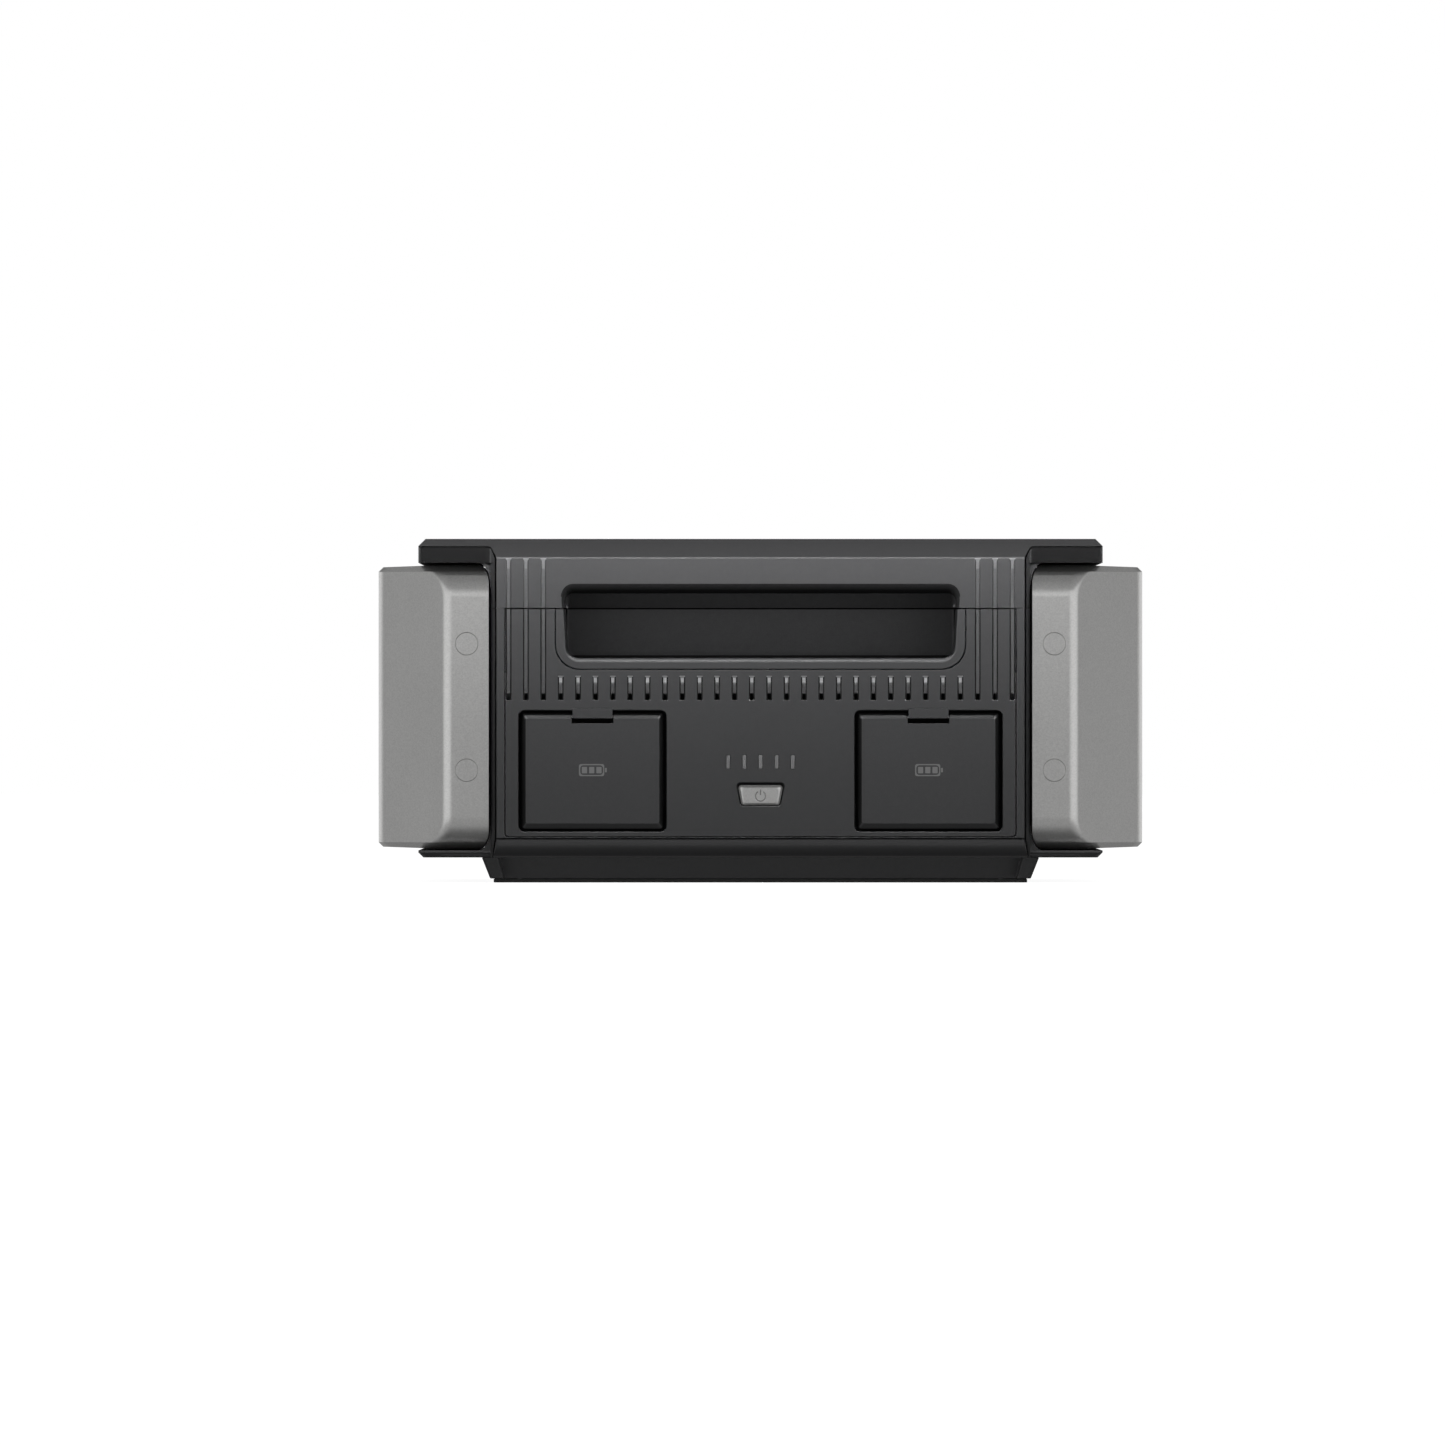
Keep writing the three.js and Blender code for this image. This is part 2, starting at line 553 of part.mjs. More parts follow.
function makeGuard() {
  const shell = guardForm(0).subtract(guardForm(GUARD.wall));
  const bossBodies = [];
  const holes = [];
  for (const z of PLUG.heights) {
    const boss = rod("y", PLUG.radius + 2.5, -GUARD.frontY + 1, -LUG.y1 - GAP, PLUG.x, z);
    const seat = rod("y", PLUG.radius + GAP, -GUARD.frontY - 1, -GUARD.frontY + PLUG.thick + GAP, PLUG.x, z, 24);
    const well = rod("y", SCREW.head + GAP, -GUARD.frontY + 2, -GUARD.frontY + 12, PLUG.x, z);
    const shank = rod("y", SCREW.shank + GAP, -GUARD.frontY + 2, -LUG.y1 + 1, PLUG.x, z, 12);
    bossBodies.push(...bothEndsMirrored(boss));
    holes.push(...[seat, well, shank].flatMap(bothEndsMirrored));
  }
  const panel = 2; // depth of the long panel pressed into the outer side
  const pressed = prism("x", rounded([
    [-228, 62, 8], [228, 62, 8], [244, 104.75, 10], [228, 147.5, 8], [-228, 147.5, 8], [-244, 104.75, 10],
  ]), GUARD.outer - panel, GUARD.outer + 1);
  return cut(union([shell, ...bossBodies]), [...holes, pressed]);
}

// A solid of the right guard's front end, and its mirror image at the rear end of the same guard.
function bothEndsMirrored(body) {
  const geometry = geometryOf(body).scale(1, -1, 1);
  const index = geometry.index.array;
  for (let i = 0; i < index.length; i += 3) [index[i], index[i + 1]] = [index[i + 1], index[i]];
  return [body, solid(geometry)];
}

function makePlug(x, z) {
  return rod("y", PLUG.radius, -GUARD.frontY, -GUARD.frontY + PLUG.thick, x, z, 24);
}

function makeGuardScrew(x, z) {
  const seat = -GUARD.frontY + 12 - GAP;
  const head = rod("y", SCREW.head, seat - SCREW.headLong, seat, x, z);
  const drive = rod("y", 2.2, seat - SCREW.headLong - 1, seat - SCREW.headLong + 2.2, x, z, 6);
  return head.add(rod("y", SCREW.shank, seat - 1, -SCREW.end, x, z, 12)).subtract(drive);
}

// ---- Base --------------------------------------------------------------------------------------------

function makePlinth() {
  const top = CASE_BOTTOM - GAP;
  const block = tapered(plinthPlan(-PLINTH.draft), plinthPlan(0), PAD_HEIGHT, top);
  const hollow = box(-146, 146, -272, 272, PAD_HEIGHT + 3, top + 1);
  return block.subtract(hollow);
}

const PAD_LONG_HALF = 158.9;
const PAD_INSET = 14;

function makeCrossPad() {
  return box(-PAD_LONG_HALF, PAD_LONG_HALF, -279, -279 + PAD_INSET, 0, PAD_HEIGHT - GAP);
}

function makeSidePad() {
  return box(PAD_LONG_HALF - PAD_INSET, PAD_LONG_HALF, -250, 250, 0, PAD_HEIGHT - GAP);
}

// ---- Inside ------------------------------------------------------------------------------------------

// Sixteen prismatic cells, pressed and taped into one block with a groove at each joint.
function makeCellStack(x) {
  const half = (CELLS.count * CELLS.thick) / 2;
  const block = box(x - CELLS.half, x + CELLS.half, -half, half, CELLS.bottom, CELLS.top);
  const grooves = Array.from({ length: CELLS.count - 1 }, (_, i) => {
    const y = -half + (i + 1) * CELLS.thick;
    return box(x - CELLS.half - 1, x + CELLS.half + 1, y - 0.8, y + 0.8, CELLS.top - 2, CELLS.top + 1);
  });
  return cut(block, grooves);
}

function makeBusbarCarrier(x) {
  const half = (CELLS.count * CELLS.thick) / 2 - 6;
  const low = CELLS.top + GAP;
  const rail = (dx) => box(x + dx - 14, x + dx + 14, -half, half, low, low + 6);
  const rungs = [-half + 8, 0, half - 8].map((y) => box(x - 50, x + 50, y - 6, y + 6, low, low + 3));
  return union([rail(-48), rail(48), ...rungs]);
}

function makeEndPlate() {
  const half = (CELLS.count * CELLS.thick) / 2;
  const plate = box(-CELLS.x - CELLS.half, CELLS.x + CELLS.half, -half - 5, -half - GAP, CELLS.bottom, 125);
  const ribs = [-126, 0, 126].map((x) => box(x - 4, x + 4, BMS.y + BMS.thick + GAP, -half - 4, BMS.z0, BMS.z1));
  return union([plate, ...ribs]);
}

function makeBmsBoard() {
  return box(-140, 140, BMS.y, BMS.y + BMS.thick, BMS.z0, BMS.z1);
}

// ---- Assembly ------------------------------------------------------------------------------------------

piece("top_cover", "case", makeTopCover());
piece("lower_housing", "frame", makeLowerHousing());
piece("front_panel", "case", makeFrontPanel());
piece("rear_panel", "case", otherEnd(panelPlate()));
piece("base_plinth", "frame", makePlinth());

const ENDS = [
  { name: "front", place: (body) => body },
  { name: "rear", place: otherEnd },
];
const SIDES = [
  { name: "left", sign: -1, place: mirrored },
  { name: "right", sign: 1, place: (body) => body },
];

for (const end of ENDS) {
  piece(`${end.name}_handle_cup`, "case", end.place(makeHandleCup()));
  piece(`${end.name}_handle_hood`, "case", end.place(makeHandleHood()));
  piece(`base_pad_${end.name}`, "rubber", end.place(makeCrossPad()));
  piece(`stack_end_plate_${end.name}`, "steel", end.place(makeEndPlate()));
}

for (const side of SIDES) {
  const x = side.sign * PORT.x;
  piece(`side_guard_${side.name}`, "guard", side.place(makeGuard()));
  piece(`base_pad_${side.name}`, "rubber", side.place(makeSidePad()));
  piece(`port_cover_${side.name}`, "cover", makePortCover(x));
  piece(`port_seal_${side.name}`, "rubber", makePortSeal(x));
  piece(`port_hinge_block_${side.name}`, "cover", makeHingeBlock(x));
  piece(`port_hinge_pin_${side.name}`, "steel", makeHingePin(x));
  piece(`port_socket_${side.name}`, "frame", makePortSocket(x));
  for (const [pole, dx] of [["negative", -CONTACT.dx], ["positive", CONTACT.dx]]) {
    piece(`port_contact_${side.name}_${pole}`, "copper",
      rod("y", CONTACT.radius, -CONTACT.tip, -CONTACT.end, x + dx, SOCKET_Z));
  }
  piece(`cell_stack_${side.name}`, "cell", makeCellStack(side.sign * CELLS.x));
  piece(`busbar_carrier_${side.name}`, "frame", makeBusbarCarrier(side.sign * CELLS.x));
  for (const end of ENDS) {
    PLUG.heights.forEach((z, i) => {
      const where = `${end.name}_${side.name}_${["lower", "upper"][i]}`;
      const sign = end.name === "rear" ? -side.sign : side.sign;
      piece(`guard_plug_${where}`, "guard", end.place(makePlug(sign * PLUG.x, z)));
      piece(`guard_screw_${where}`, "steel", end.place(makeGuardScrew(sign * PLUG.x, z)));
    });
  }
}

piece("power_button", "key", makePowerButton());
lensPositions().forEach((x, i) => piece(`charge_lens_${i + 1}`, "lens", makeLens(x)));
piece("indicator_board", "board", makeIndicatorBoard());
piece("power_switch", "frame", makePowerSwitch());
piece("bms_board", "board", makeBmsBoard());

export default station;
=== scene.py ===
# %% [markdown]
# # A stackable battery for a power station
#
# The object is a flat case that one lifts by a grip at each end. Its front carries two covered
# battery ports, a five-step charge gauge and a power key. A metal guard runs along each side.
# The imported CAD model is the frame: it says where each piece is and how it moves. Here each
# piece that shows gets its fine shape and its finish, and rides the CAD body it belongs to.

import json
import math

import bmesh
import bpy
from mathutils import Matrix, Vector

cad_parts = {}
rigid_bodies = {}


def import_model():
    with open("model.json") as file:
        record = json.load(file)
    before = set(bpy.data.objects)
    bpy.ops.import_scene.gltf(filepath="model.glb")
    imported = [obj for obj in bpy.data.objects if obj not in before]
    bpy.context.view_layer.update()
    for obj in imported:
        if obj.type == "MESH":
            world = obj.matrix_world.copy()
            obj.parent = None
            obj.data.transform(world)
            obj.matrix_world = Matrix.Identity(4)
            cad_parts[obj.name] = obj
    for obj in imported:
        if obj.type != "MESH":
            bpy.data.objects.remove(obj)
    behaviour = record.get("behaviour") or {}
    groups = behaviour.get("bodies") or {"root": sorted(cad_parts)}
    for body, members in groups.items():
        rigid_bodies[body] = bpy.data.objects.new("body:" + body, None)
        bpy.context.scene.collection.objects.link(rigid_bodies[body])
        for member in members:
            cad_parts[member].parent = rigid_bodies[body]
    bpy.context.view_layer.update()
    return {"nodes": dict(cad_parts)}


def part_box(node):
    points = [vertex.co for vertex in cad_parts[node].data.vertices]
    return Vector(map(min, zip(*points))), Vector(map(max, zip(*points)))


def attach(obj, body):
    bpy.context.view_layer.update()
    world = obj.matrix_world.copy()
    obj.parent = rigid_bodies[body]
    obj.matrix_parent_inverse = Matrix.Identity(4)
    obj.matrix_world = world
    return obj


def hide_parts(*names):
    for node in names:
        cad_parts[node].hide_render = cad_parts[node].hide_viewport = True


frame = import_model()

# %% [markdown]
# ## Sizes
#
# Blender works in metres, but a maker thinks of a moulding in millimetres. So the sizes are in
# millimetres here and are scaled once, where a mesh is made. What the CAD model can tell is read
# from the boxes of its nodes.

# %% Read the driving sizes from the frame
MM = 0.001


def corners_of(node):
    """The lowest and the highest corner of a CAD node, in millimetres."""
    low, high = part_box(node)
    return low / MM, high / MM


cover_low, cover_high = corners_of("top_cover")
housing_low, housing_high = corners_of("lower_housing")
END = cover_high.y            # the end faces stand at -END and +END
TOP = cover_high.z
FLANGE_HALF = cover_high.x
COVER_SEAM = cover_low.z      # underside of the top cover
HOUSING_SEAM = housing_high.z
HOUSING_LOW = housing_low.z
FACE_HALF = 157.0             # half width of an end face
WEB_HALF = 161.0              # half width of the case between its flanges
FLANGE_END = 321.5
FLANGE_UNDER = 190.3
LOWER_FLANGE_TOP = 19.2
BEVEL_LOW = 193.4             # where the bevel over an end face starts
BEVEL_BACK = 14.0             # how far back it runs
WALL = 4.0
SEAM = 0.3                   # half the width of a seam between two mouldings
print(f"case {2 * FLANGE_HALF:.0f} x {2 * END:.0f} x {TOP:.1f} mm, seam at {HOUSING_SEAM:.1f} mm")

# %% [markdown]
# ## Solids from outlines
#
# Nearly every piece here is an injection moulding, so it is an outline pushed along one axis, with
# rounded corners and eased edges. One function turns corner points with radii into a ring of
# points, and can grow or shrink it. Another skins a stack of such rings. An eased edge is then
# simply a few rings that grow along a quarter circle. That is cleaner than a bevel added after
# the cutting, because the rounding is part of the solid or of the cutter from the start.

# %% Rings and skins
ARC_STEPS = 6
EASE_STEPS = 4
CIRCLE_STEPS = 64


def ring_of(corners, grow=0.0, steps=ARC_STEPS):
    """Points round anticlockwise corners (u, v, radius), moved outwards by grow."""
    points = []
    for i, (u, v, radius) in enumerate(corners):
        before = Vector(corners[i - 1][:2])
        here = Vector((u, v))
        after = Vector(corners[(i + 1) % len(corners)][:2])
        inward = (here - before).normalized()
        onward = (after - here).normalized()
        turn = math.atan2(inward.cross(onward), inward.dot(onward))
        outward = Vector((inward.y + onward.y, -inward.x - onward.x)).normalized()
        corner = here + outward * grow / math.cos(turn / 2)
        if radius == 0:
            points.append(corner)
            continue
        grown = max(radius + math.copysign(grow, turn), 0.02)
        start = corner - inward * grown * math.tan(abs(turn) / 2)
        centre = start + math.copysign(grown, turn) * Vector((-inward.y, inward.x))
        arm = start - centre
        for k in range(steps + 1):
            angle = turn * k / steps
            cos, sin = math.cos(angle), math.sin(angle)
            points.append(centre + Vector((cos * arm.x - sin * arm.y, sin * arm.x + cos * arm.y)))
    return points


TO_SPACE = {
    "x": lambda u, v, w: (w, u, v),
    "y": lambda u, v, w: (u, w, v),
    "z": lambda u, v, w: (u, v, w),
}


def add_object(name, data):
    """Puts a new object into the scene."""
    made = bpy.data.objects.new(name, data)
    bpy.context.scene.collection.objects.link(made)
    return made


def piece_of(name, build):
    """Turns a finished build into a piece."""
    mesh = bpy.data.meshes.new(name)
    build.to_mesh(mesh)
    build.free()
    return add_object(name, mesh)


def skin(name, rings):
    """A closed solid through rings of equally many points, given in millimetres."""
    build = bmesh.new()
    layers = [[build.verts.new(Vector(point) * MM) for point in ring] for ring in rings]
    count = len(layers[0])
    for lower, upper in zip(layers, layers[1:]):
        for i in range(count):
            j = (i + 1) % count
            build.faces.new((lower[i], lower[j], upper[j], upper[i]))
    build.faces.new(reversed(layers[0]))
    build.faces.new(layers[-1])
    bmesh.ops.recalc_face_normals(build, faces=build.faces)
    return piece_of(name, build)


def prism(name, axis, corners, sections, steps=ARC_STEPS):
    """An outline pushed along an axis. Sections are (place along the axis, growth) pairs."""
    to_space = TO_SPACE[axis]
    return skin(name, [
        [to_space(point.x, point.y, place) for point in ring_of(corners, grow, steps)]
        for place, grow in sections
    ])


def eased(face, into, radius, sign, base=0.0):
    """Sections that round an edge at a face. Sign is -1 on a solid and +1 on a cutter's mouth."""
    sections = []
    for k in range(EASE_STEPS + 1):
        angle = math.pi / 2 * k / EASE_STEPS
        place = face + into * radius * (1 - math.cos(angle))
        sections.append((place, base + sign * radius * (1 - math.sin(angle))))
    return sections


def solid_sections(front, back, radius, back_radius=0.0):
    """Sections of a solid from front to back, with eased edges."""
    into = 1 if back > front else -1
    tail = eased(back, -into, back_radius, -1)[::-1] if back_radius else [(back, 0.0)]
    return eased(front, into, radius, -1) + tail


def cutter_sections(face, back, radius):
    """Sections of a cutter that starts outside a face, eases its edge, and runs on to back."""
    into = 1 if back > face else -1
    return [(face - into, radius)] + eased(face, into, radius, 1) + [(back, 0.0)]


def rectangle(u0, u1, v0, v1, radius=0.0):
    return [(u0, v0, radius), (u1, v0, radius), (u1, v1, radius), (u0, v1, radius)]


def centred(u, v, half_u, half_v, radius=0.0):
    """A rectangle from its middle and its half sizes."""
    return rectangle(u - half_u, u + half_u, v - half_v, v + half_v, radius)


def circle(u, v, radius):
    """A circle as anticlockwise corners."""
    angles = [2 * math.pi * k / CIRCLE_STEPS for k in range(CIRCLE_STEPS)]
    return [(u + radius * math.cos(a), v + radius * math.sin(a), 0.0) for a in angles]


def block(name, x0, x1, y0, y1, z0, z1):
    """A plain box, used only to cut or to extend other solids."""
    return prism(name, "z", rectangle(x0, x1, y0, y1), [(z0, 0.0), (z1, 0.0)])


# %% [markdown]
# ## Cutting and finishing
#
# Cutters are joined or taken away with Blender's Manifold boolean, which is quick and exact on
# closed meshes. A Bevel modifier softens a solid while it is still simple, before the cutters go
# in. At the end flat faces are merged again and shaded with area-weighted normals, so that a
# large flat face stays flat next to its tiny rounded edges.

# %% Booleans, bevels, normals
def settle(piece):
    """Turns a piece's modifiers into plain mesh."""
    graph = bpy.context.evaluated_depsgraph_get()
    mesh = bpy.data.meshes.new_from_object(piece.evaluated_get(graph))
    piece.modifiers.clear()
    piece.data = mesh
    return piece


def combine(piece, tools, operation):
    for tool in tools:
        step = piece.modifiers.new(operation.lower(), "BOOLEAN")
        step.operation = operation
        step.solver = "MANIFOLD"
        step.object = tool
    settle(piece)
    for tool in tools:
        bpy.data.objects.remove(tool)
    return piece


def soften(piece, width, segments=3, angle=22):
    """Rounds the edges that turn by more than an angle."""
    bevel = piece.modifiers.new("soft_edges", "BEVEL")
    bevel.width = width * MM
    bevel.segments = segments
    bevel.limit_method = "ANGLE"
    bevel.angle_limit = math.radians(angle)
    bevel.harden_normals = False
    bevel.miter_outer = "MITER_ARC"
    return settle(piece)


HALF_TURN = Matrix.Rotation(math.pi, 4, "Z")


def turned(piece, name):
    """A copy at the other end of the case, turned half round about the upright axis."""
    twin = add_object(name, piece.data.copy())
    twin.data.transform(HALF_TURN)
    return twin


def mirrored(piece, name):
    """A copy mirrored across the case."""
    twin = add_object(name, piece.data.copy())
    twin.data.transform(Matrix.Diagonal((-1, 1, 1)).to_4x4())
    twin.data.flip_normals()
    return twin


def finish_piece(piece, finish, body, replaced=(), crease=30):
    """Merges flat faces, shades the piece, gives it its finish and puts it on its body."""
    build = bmesh.new()
    build.from_mesh(piece.data)
    bmesh.ops.remove_doubles(build, verts=build.verts, dist=0.002 * MM)
    bmesh.ops.dissolve_limit(
        build, angle_limit=math.radians(0.4), verts=build.verts, edges=build.edges)
    build.to_mesh(piece.data)
    build.free()
    piece.data.shade_smooth()
    piece.data.set_sharp_from_angle(angle=math.radians(crease))
    normals = piece.modifiers.new("even_normals", "WEIGHTED_NORMAL")
    normals.keep_sharp = True
    piece.data.materials.clear()
    piece.data.materials.append(finish)
    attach(piece, body)
    if replaced:
        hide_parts(*replaced)
    print(f"{piece.name}: {len(piece.data.polygons)} faces on {body}")
    return piece


def second_finish(piece, finish, where):
    """Gives a second finish to the faces whose centre (mm) and normal pass a test."""
    index = len(piece.data.materials)
    piece.data.materials.append(finish)
    for face in piece.data.polygons:
        if where(face.center / MM, face.normal):
            face.material_index = index


# %% [markdown]
# ## Finishes
#
# The case is a glass-filled plastic with a spark-eroded texture: a fine pebble that scatters light
# and reads as soft dark grey. The guards carry a fine metallic paint. Both are built from noise in
# object space, so they stick to the piece when it moves. The maths is written with a small class,
# which turns + and * on sockets into Math nodes.

# %% Shader maths as expressions
class Value:
    """The value on a socket of a node tree. Sums and products of values become Math nodes."""

    def __init__(self, tree, socket):
        self.tree = tree
        self.socket = socket

    def maths(self, operation, other):
        return Nodes(self.tree).node("ShaderNodeMath", {"operation": operation}, {0: self, 1: other})

    def __add__(self, other):
        return self.maths("ADD", other)

    __radd__ = __add__

    def __mul__(self, other):
        return self.maths("MULTIPLY", other)

    __rmul__ = __mul__


def feed(tree, socket, value):
    """Links a value to a socket, or sets the socket's own number."""
    if isinstance(value, Value):
        tree.links.new(value.socket, socket)
    else:
        socket.default_value = value


def set_stops(elements, stops):
    """Gives a ramp its grey stops, as (position, brightness) pairs from 0 upwards."""
    elements.remove(elements[1])
    for position, level in stops:
        stop = elements[0] if position == 0.0 else elements.new(position)
        stop.color = (level, level, level, 1)


class Nodes:
    """The nodes of a material or of the sky."""

    def __init__(self, tree):
        self.tree = tree

    def node(self, kind, settings, sockets, output=0):
        """Adds a node: first its settings, then the values or links of its sockets."""
        made = self.tree.nodes.new(kind)
        for setting, value in settings.items():
            if setting == "stops":
                set_stops(made.color_ramp.elements, value)
            else:
                setattr(made, setting, value)
        for socket, value in sockets.items():
            feed(self.tree, made.inputs[socket], value)
        return Value(self.tree, made.outputs[output])


class Finish(Nodes):
    """A material under construction: one Principled shader and the nodes that feed it."""

    def __init__(self, name, **constants):
        self.material = bpy.data.materials.new(name)
        self.material.use_nodes = True
        super().__init__(self.material.node_tree)
        self.shader = self.tree.nodes["Principled BSDF"]
        for socket, number in constants.items():
            self.shader.inputs[socket.replace("_", " ")].default_value = number

    def place(self):
        return self.node("ShaderNodeTexCoord", {}, {}, "Object")

    def noise(self, size_mm, detail=2.0, roughness=0.5):
        """Noise in object space whose lumps are about so many millimetres across."""
        return self.node("ShaderNodeTexNoise", {}, {
            "Vector": self.place(), "Scale": 1000.0 / size_mm,
            "Detail": detail, "Roughness": roughness}, "Fac")

    def spread(self, value, low, high, out_low, out_high):
        """Maps a range of a value to another range, and clamps it."""
        return self.node("ShaderNodeMapRange", {"clamp": True}, {
            "Value": value, "From Min": low, "From Max": high,
            "To Min": out_low, "To Max": out_high})

    def blend(self, mask, first, second):
        return self.node("ShaderNodeMix", {"data_type": "RGBA"}, {0: mask, 6: first, 7: second}, 2)

    def bump(self, height, depth_mm):
        """Raises the surface by a height from 0 to 1, times a depth."""
        return self.node("ShaderNodeBump", {}, {
            "Height": height, "Distance": depth_mm * MM, "Strength": 1.0})

    def wire(self, **links):
        """Feeds the shader's own sockets, and returns the finished material."""
        for socket, value in links.items():
            feed(self.tree, self.shader.inputs[socket.replace("_", " ")], value)
        return self.material


# %% [markdown]
# ### Textured plastic
#
# A spark-eroded tool leaves rounded pebbles about half a millimetre across, over slow waves from the
# moulding. A broad, faint mottle keeps large faces from looking like paint. The same recipe makes the case,
# the frame and the port covers with other greys. Lighter and darker copies of it paint light and shade:
# painted shade on faces that look up, on the flanks, the upper flange and the bevel's edge line, and near
# black on the walls of seams and lips; painted light on the lower frame, the plinth, inside the grip and on
# the vents' floors, which are also smoother; and a painted highlight on the vents' ramps.

# %% Textured plastic finish
def grey(level, warmth=0.0):
    return (level * (1 + warmth), level * (1 + 0.7 * warmth), level * (1 - warmth), 1.0)


def textured_plastic(name, level, rough=0.47, grain_mm=0.55, depth_mm=0.02, sheen=0.26):
    finish = Finish(name, Specular_IOR_Level=sheen)
    pebble = finish.noise(grain_mm, detail=1.5)
    coarse = finish.noise(2.4, detail=2.0)
    mottle = finish.noise(38.0, detail=3.0, roughness=0.6)
    tone = finish.spread(pebble * 0.55 + coarse * 0.25 + mottle * 0.2, 0.3, 0.7, 0.0, 1.0)
    colour = finish.blend(tone, grey(level * 0.88, -0.02), grey(level * 1.14, -0.02))
    gloss = finish.spread(mottle * 0.6 + pebble * 0.4, 0.3, 0.7, rough + 0.03, rough - 0.03)
    skin_bump = finish.bump(pebble * 0.8 + coarse * 0.2, depth_mm)
    return finish.wire(Base_Color=colour, Roughness=gloss, Normal=skin_bump)


def smooth_plastic(name, level):
    """The same plastic where the tool was only polished."""
    return textured_plastic(name, level, rough=0.36, grain_mm=1.2, depth_mm=0.004, sheen=1.0)


case_plastic = textured_plastic("case_plastic", 0.022, sheen=0.22)
# Painted shade: a darker copy of the case plastic for faces that look upwards.
top_plastic = textured_plastic("top_plastic", 0.008, rough=0.6, sheen=0.16)
# Painted shade: a near-black copy for the walls of seams, vents, pockets and the key's well, the port covers'
# side chamfers and the upper flange's front.
flange_plastic = textured_plastic("flange_plastic", 0.004, rough=0.36, sheen=0.1)
# Painted shade: a darker copy for the flanks beside an end face and the side walls of grooves.
flank_plastic = textured_plastic("flank_plastic", 0.016)
# Painted light: a lighter copy for the lower housing's sides and flange and for the plinth, which little
# light reaches.
frame_plastic = textured_plastic("frame_plastic", 0.030, rough=0.5)
cover_plastic = textured_plastic("cover_plastic", 0.022, sheen=0.22)
# Painted light: a much lighter copy for the back wall of the grip.
recess_plastic = textured_plastic("recess_plastic", 0.11)
# Painted shade: a near-black, dull copy for the upper lip, the sides of the grip and the seam round its cup.
lip_plastic = textured_plastic("lip_plastic", 0.005, rough=0.7, sheen=0.03)
# Painted highlight: a lighter, smoother copy for the ramps of the vents.
ramp_plastic = smooth_plastic("ramp_plastic", 0.10)
# Painted highlight: a still lighter copy for the band of a ramp that shows the brightest highlight.
glint_plastic = smooth_plastic("glint_plastic", 0.30)
# Painted shade: a slightly darker copy on the edge line under the bevel, to dim its highlight.
edge_plastic = textured_plastic("edge_plastic", 0.016, rough=0.45, sheen=0.18)
# Painted light: a lighter copy for the hood, weaker than on the cup's back wall, so the upper half of the
# grip reads shaded.
hood_plastic = textured_plastic("hood_plastic", 0.05)
# Painted light: a lighter, smoother copy for the floors of the vents.
vent_plastic = smooth_plastic("vent_plastic", 0.055)
inner_plastic = textured_plastic("inner_plastic", 0.015, rough=0.6)
print("plastics:", case_plastic.name, frame_plastic.name, cover_plastic.name)

# %% [markdown]
# ### Metallic guard paint
#
# The guards look like bead-blasted metal under a satin clear coat: neutral to slightly warm, with
# a fine sparkle. Tiny cells vary the brightness and tilt the surface a little, as flakes do.

# %% Metallic paint finishes
PAINT_WARMTH = 0.008


def metallic_paint(name, level, rough=0.35):
    finish = Finish(name, Metallic=0.85, Coat_Weight=0.12, Coat_Roughness=0.35)
    flakes = finish.node("ShaderNodeTexVoronoi", {"feature": "F1"}, {
        "Vector": finish.place(), "Scale": 1000.0 / 0.7, "Randomness": 1.0}, "Color")
    sparkle = finish.node("ShaderNodeSeparateColor", {}, {"Color": flakes}, 0)
    grain = finish.noise(0.9, detail=2.0)
    cloud = finish.noise(60.0, detail=2.0)
    tone = finish.spread(sparkle * 0.35 + grain * 0.45 + cloud * 0.2, 0.25, 0.75, 0.0, 1.0)
    colour = finish.blend(tone, grey(level * 0.92, PAINT_WARMTH), grey(level * 1.08, PAINT_WARMTH))
    gloss = finish.spread(grain * 0.7 + cloud * 0.3, 0.3, 0.7, rough - 0.04, rough + 0.05)
    return finish.wire(Base_Color=colour, Roughness=gloss, Normal=finish.bump(grain, 0.012))


guard_paint = metallic_paint("guard_paint", 0.77)
key_paint = metallic_paint("key_paint", 0.74, rough=0.42)
print("paints:", guard_paint.name, key_paint.name)

# %% [markdown]
# ### Small finishes
#
# Rubber is dull and slightly dusty. The gauge lenses are frosted grey plastic. The print on the
# covers and the sign on the key are flat inks. Inside, contacts are plated brass, fasteners are
# zinc-plated steel, boards have a dark mask, and the cells wear a dark blue film.

# %% Rubber, lens, ink and metal finishes
def plain_finish(name, colour, rough, metallic=0.0, grain_mm=1.0, depth_mm=0.01, change=0.12):
    """A finish of one colour that varies a little from place to place."""
    finish = Finish(name, Metallic=metallic)
    grain = finish.noise(grain_mm, detail=3.0)
    dark = tuple(c * (1 - change) for c in colour[:3]) + (1.0,)
    light = tuple(min(c * (1 + change), 1.0) for c in colour[:3]) + (1.0,)
    tone = finish.spread(grain, 0.3, 0.7, 0.0, 1.0)
    gloss = finish.spread(grain, 0.3, 0.7, rough - 0.04, rough + 0.04)
    return finish.wire(
        Base_Color=finish.blend(tone, dark, light), Roughness=gloss, Normal=finish.bump(grain, depth_mm))


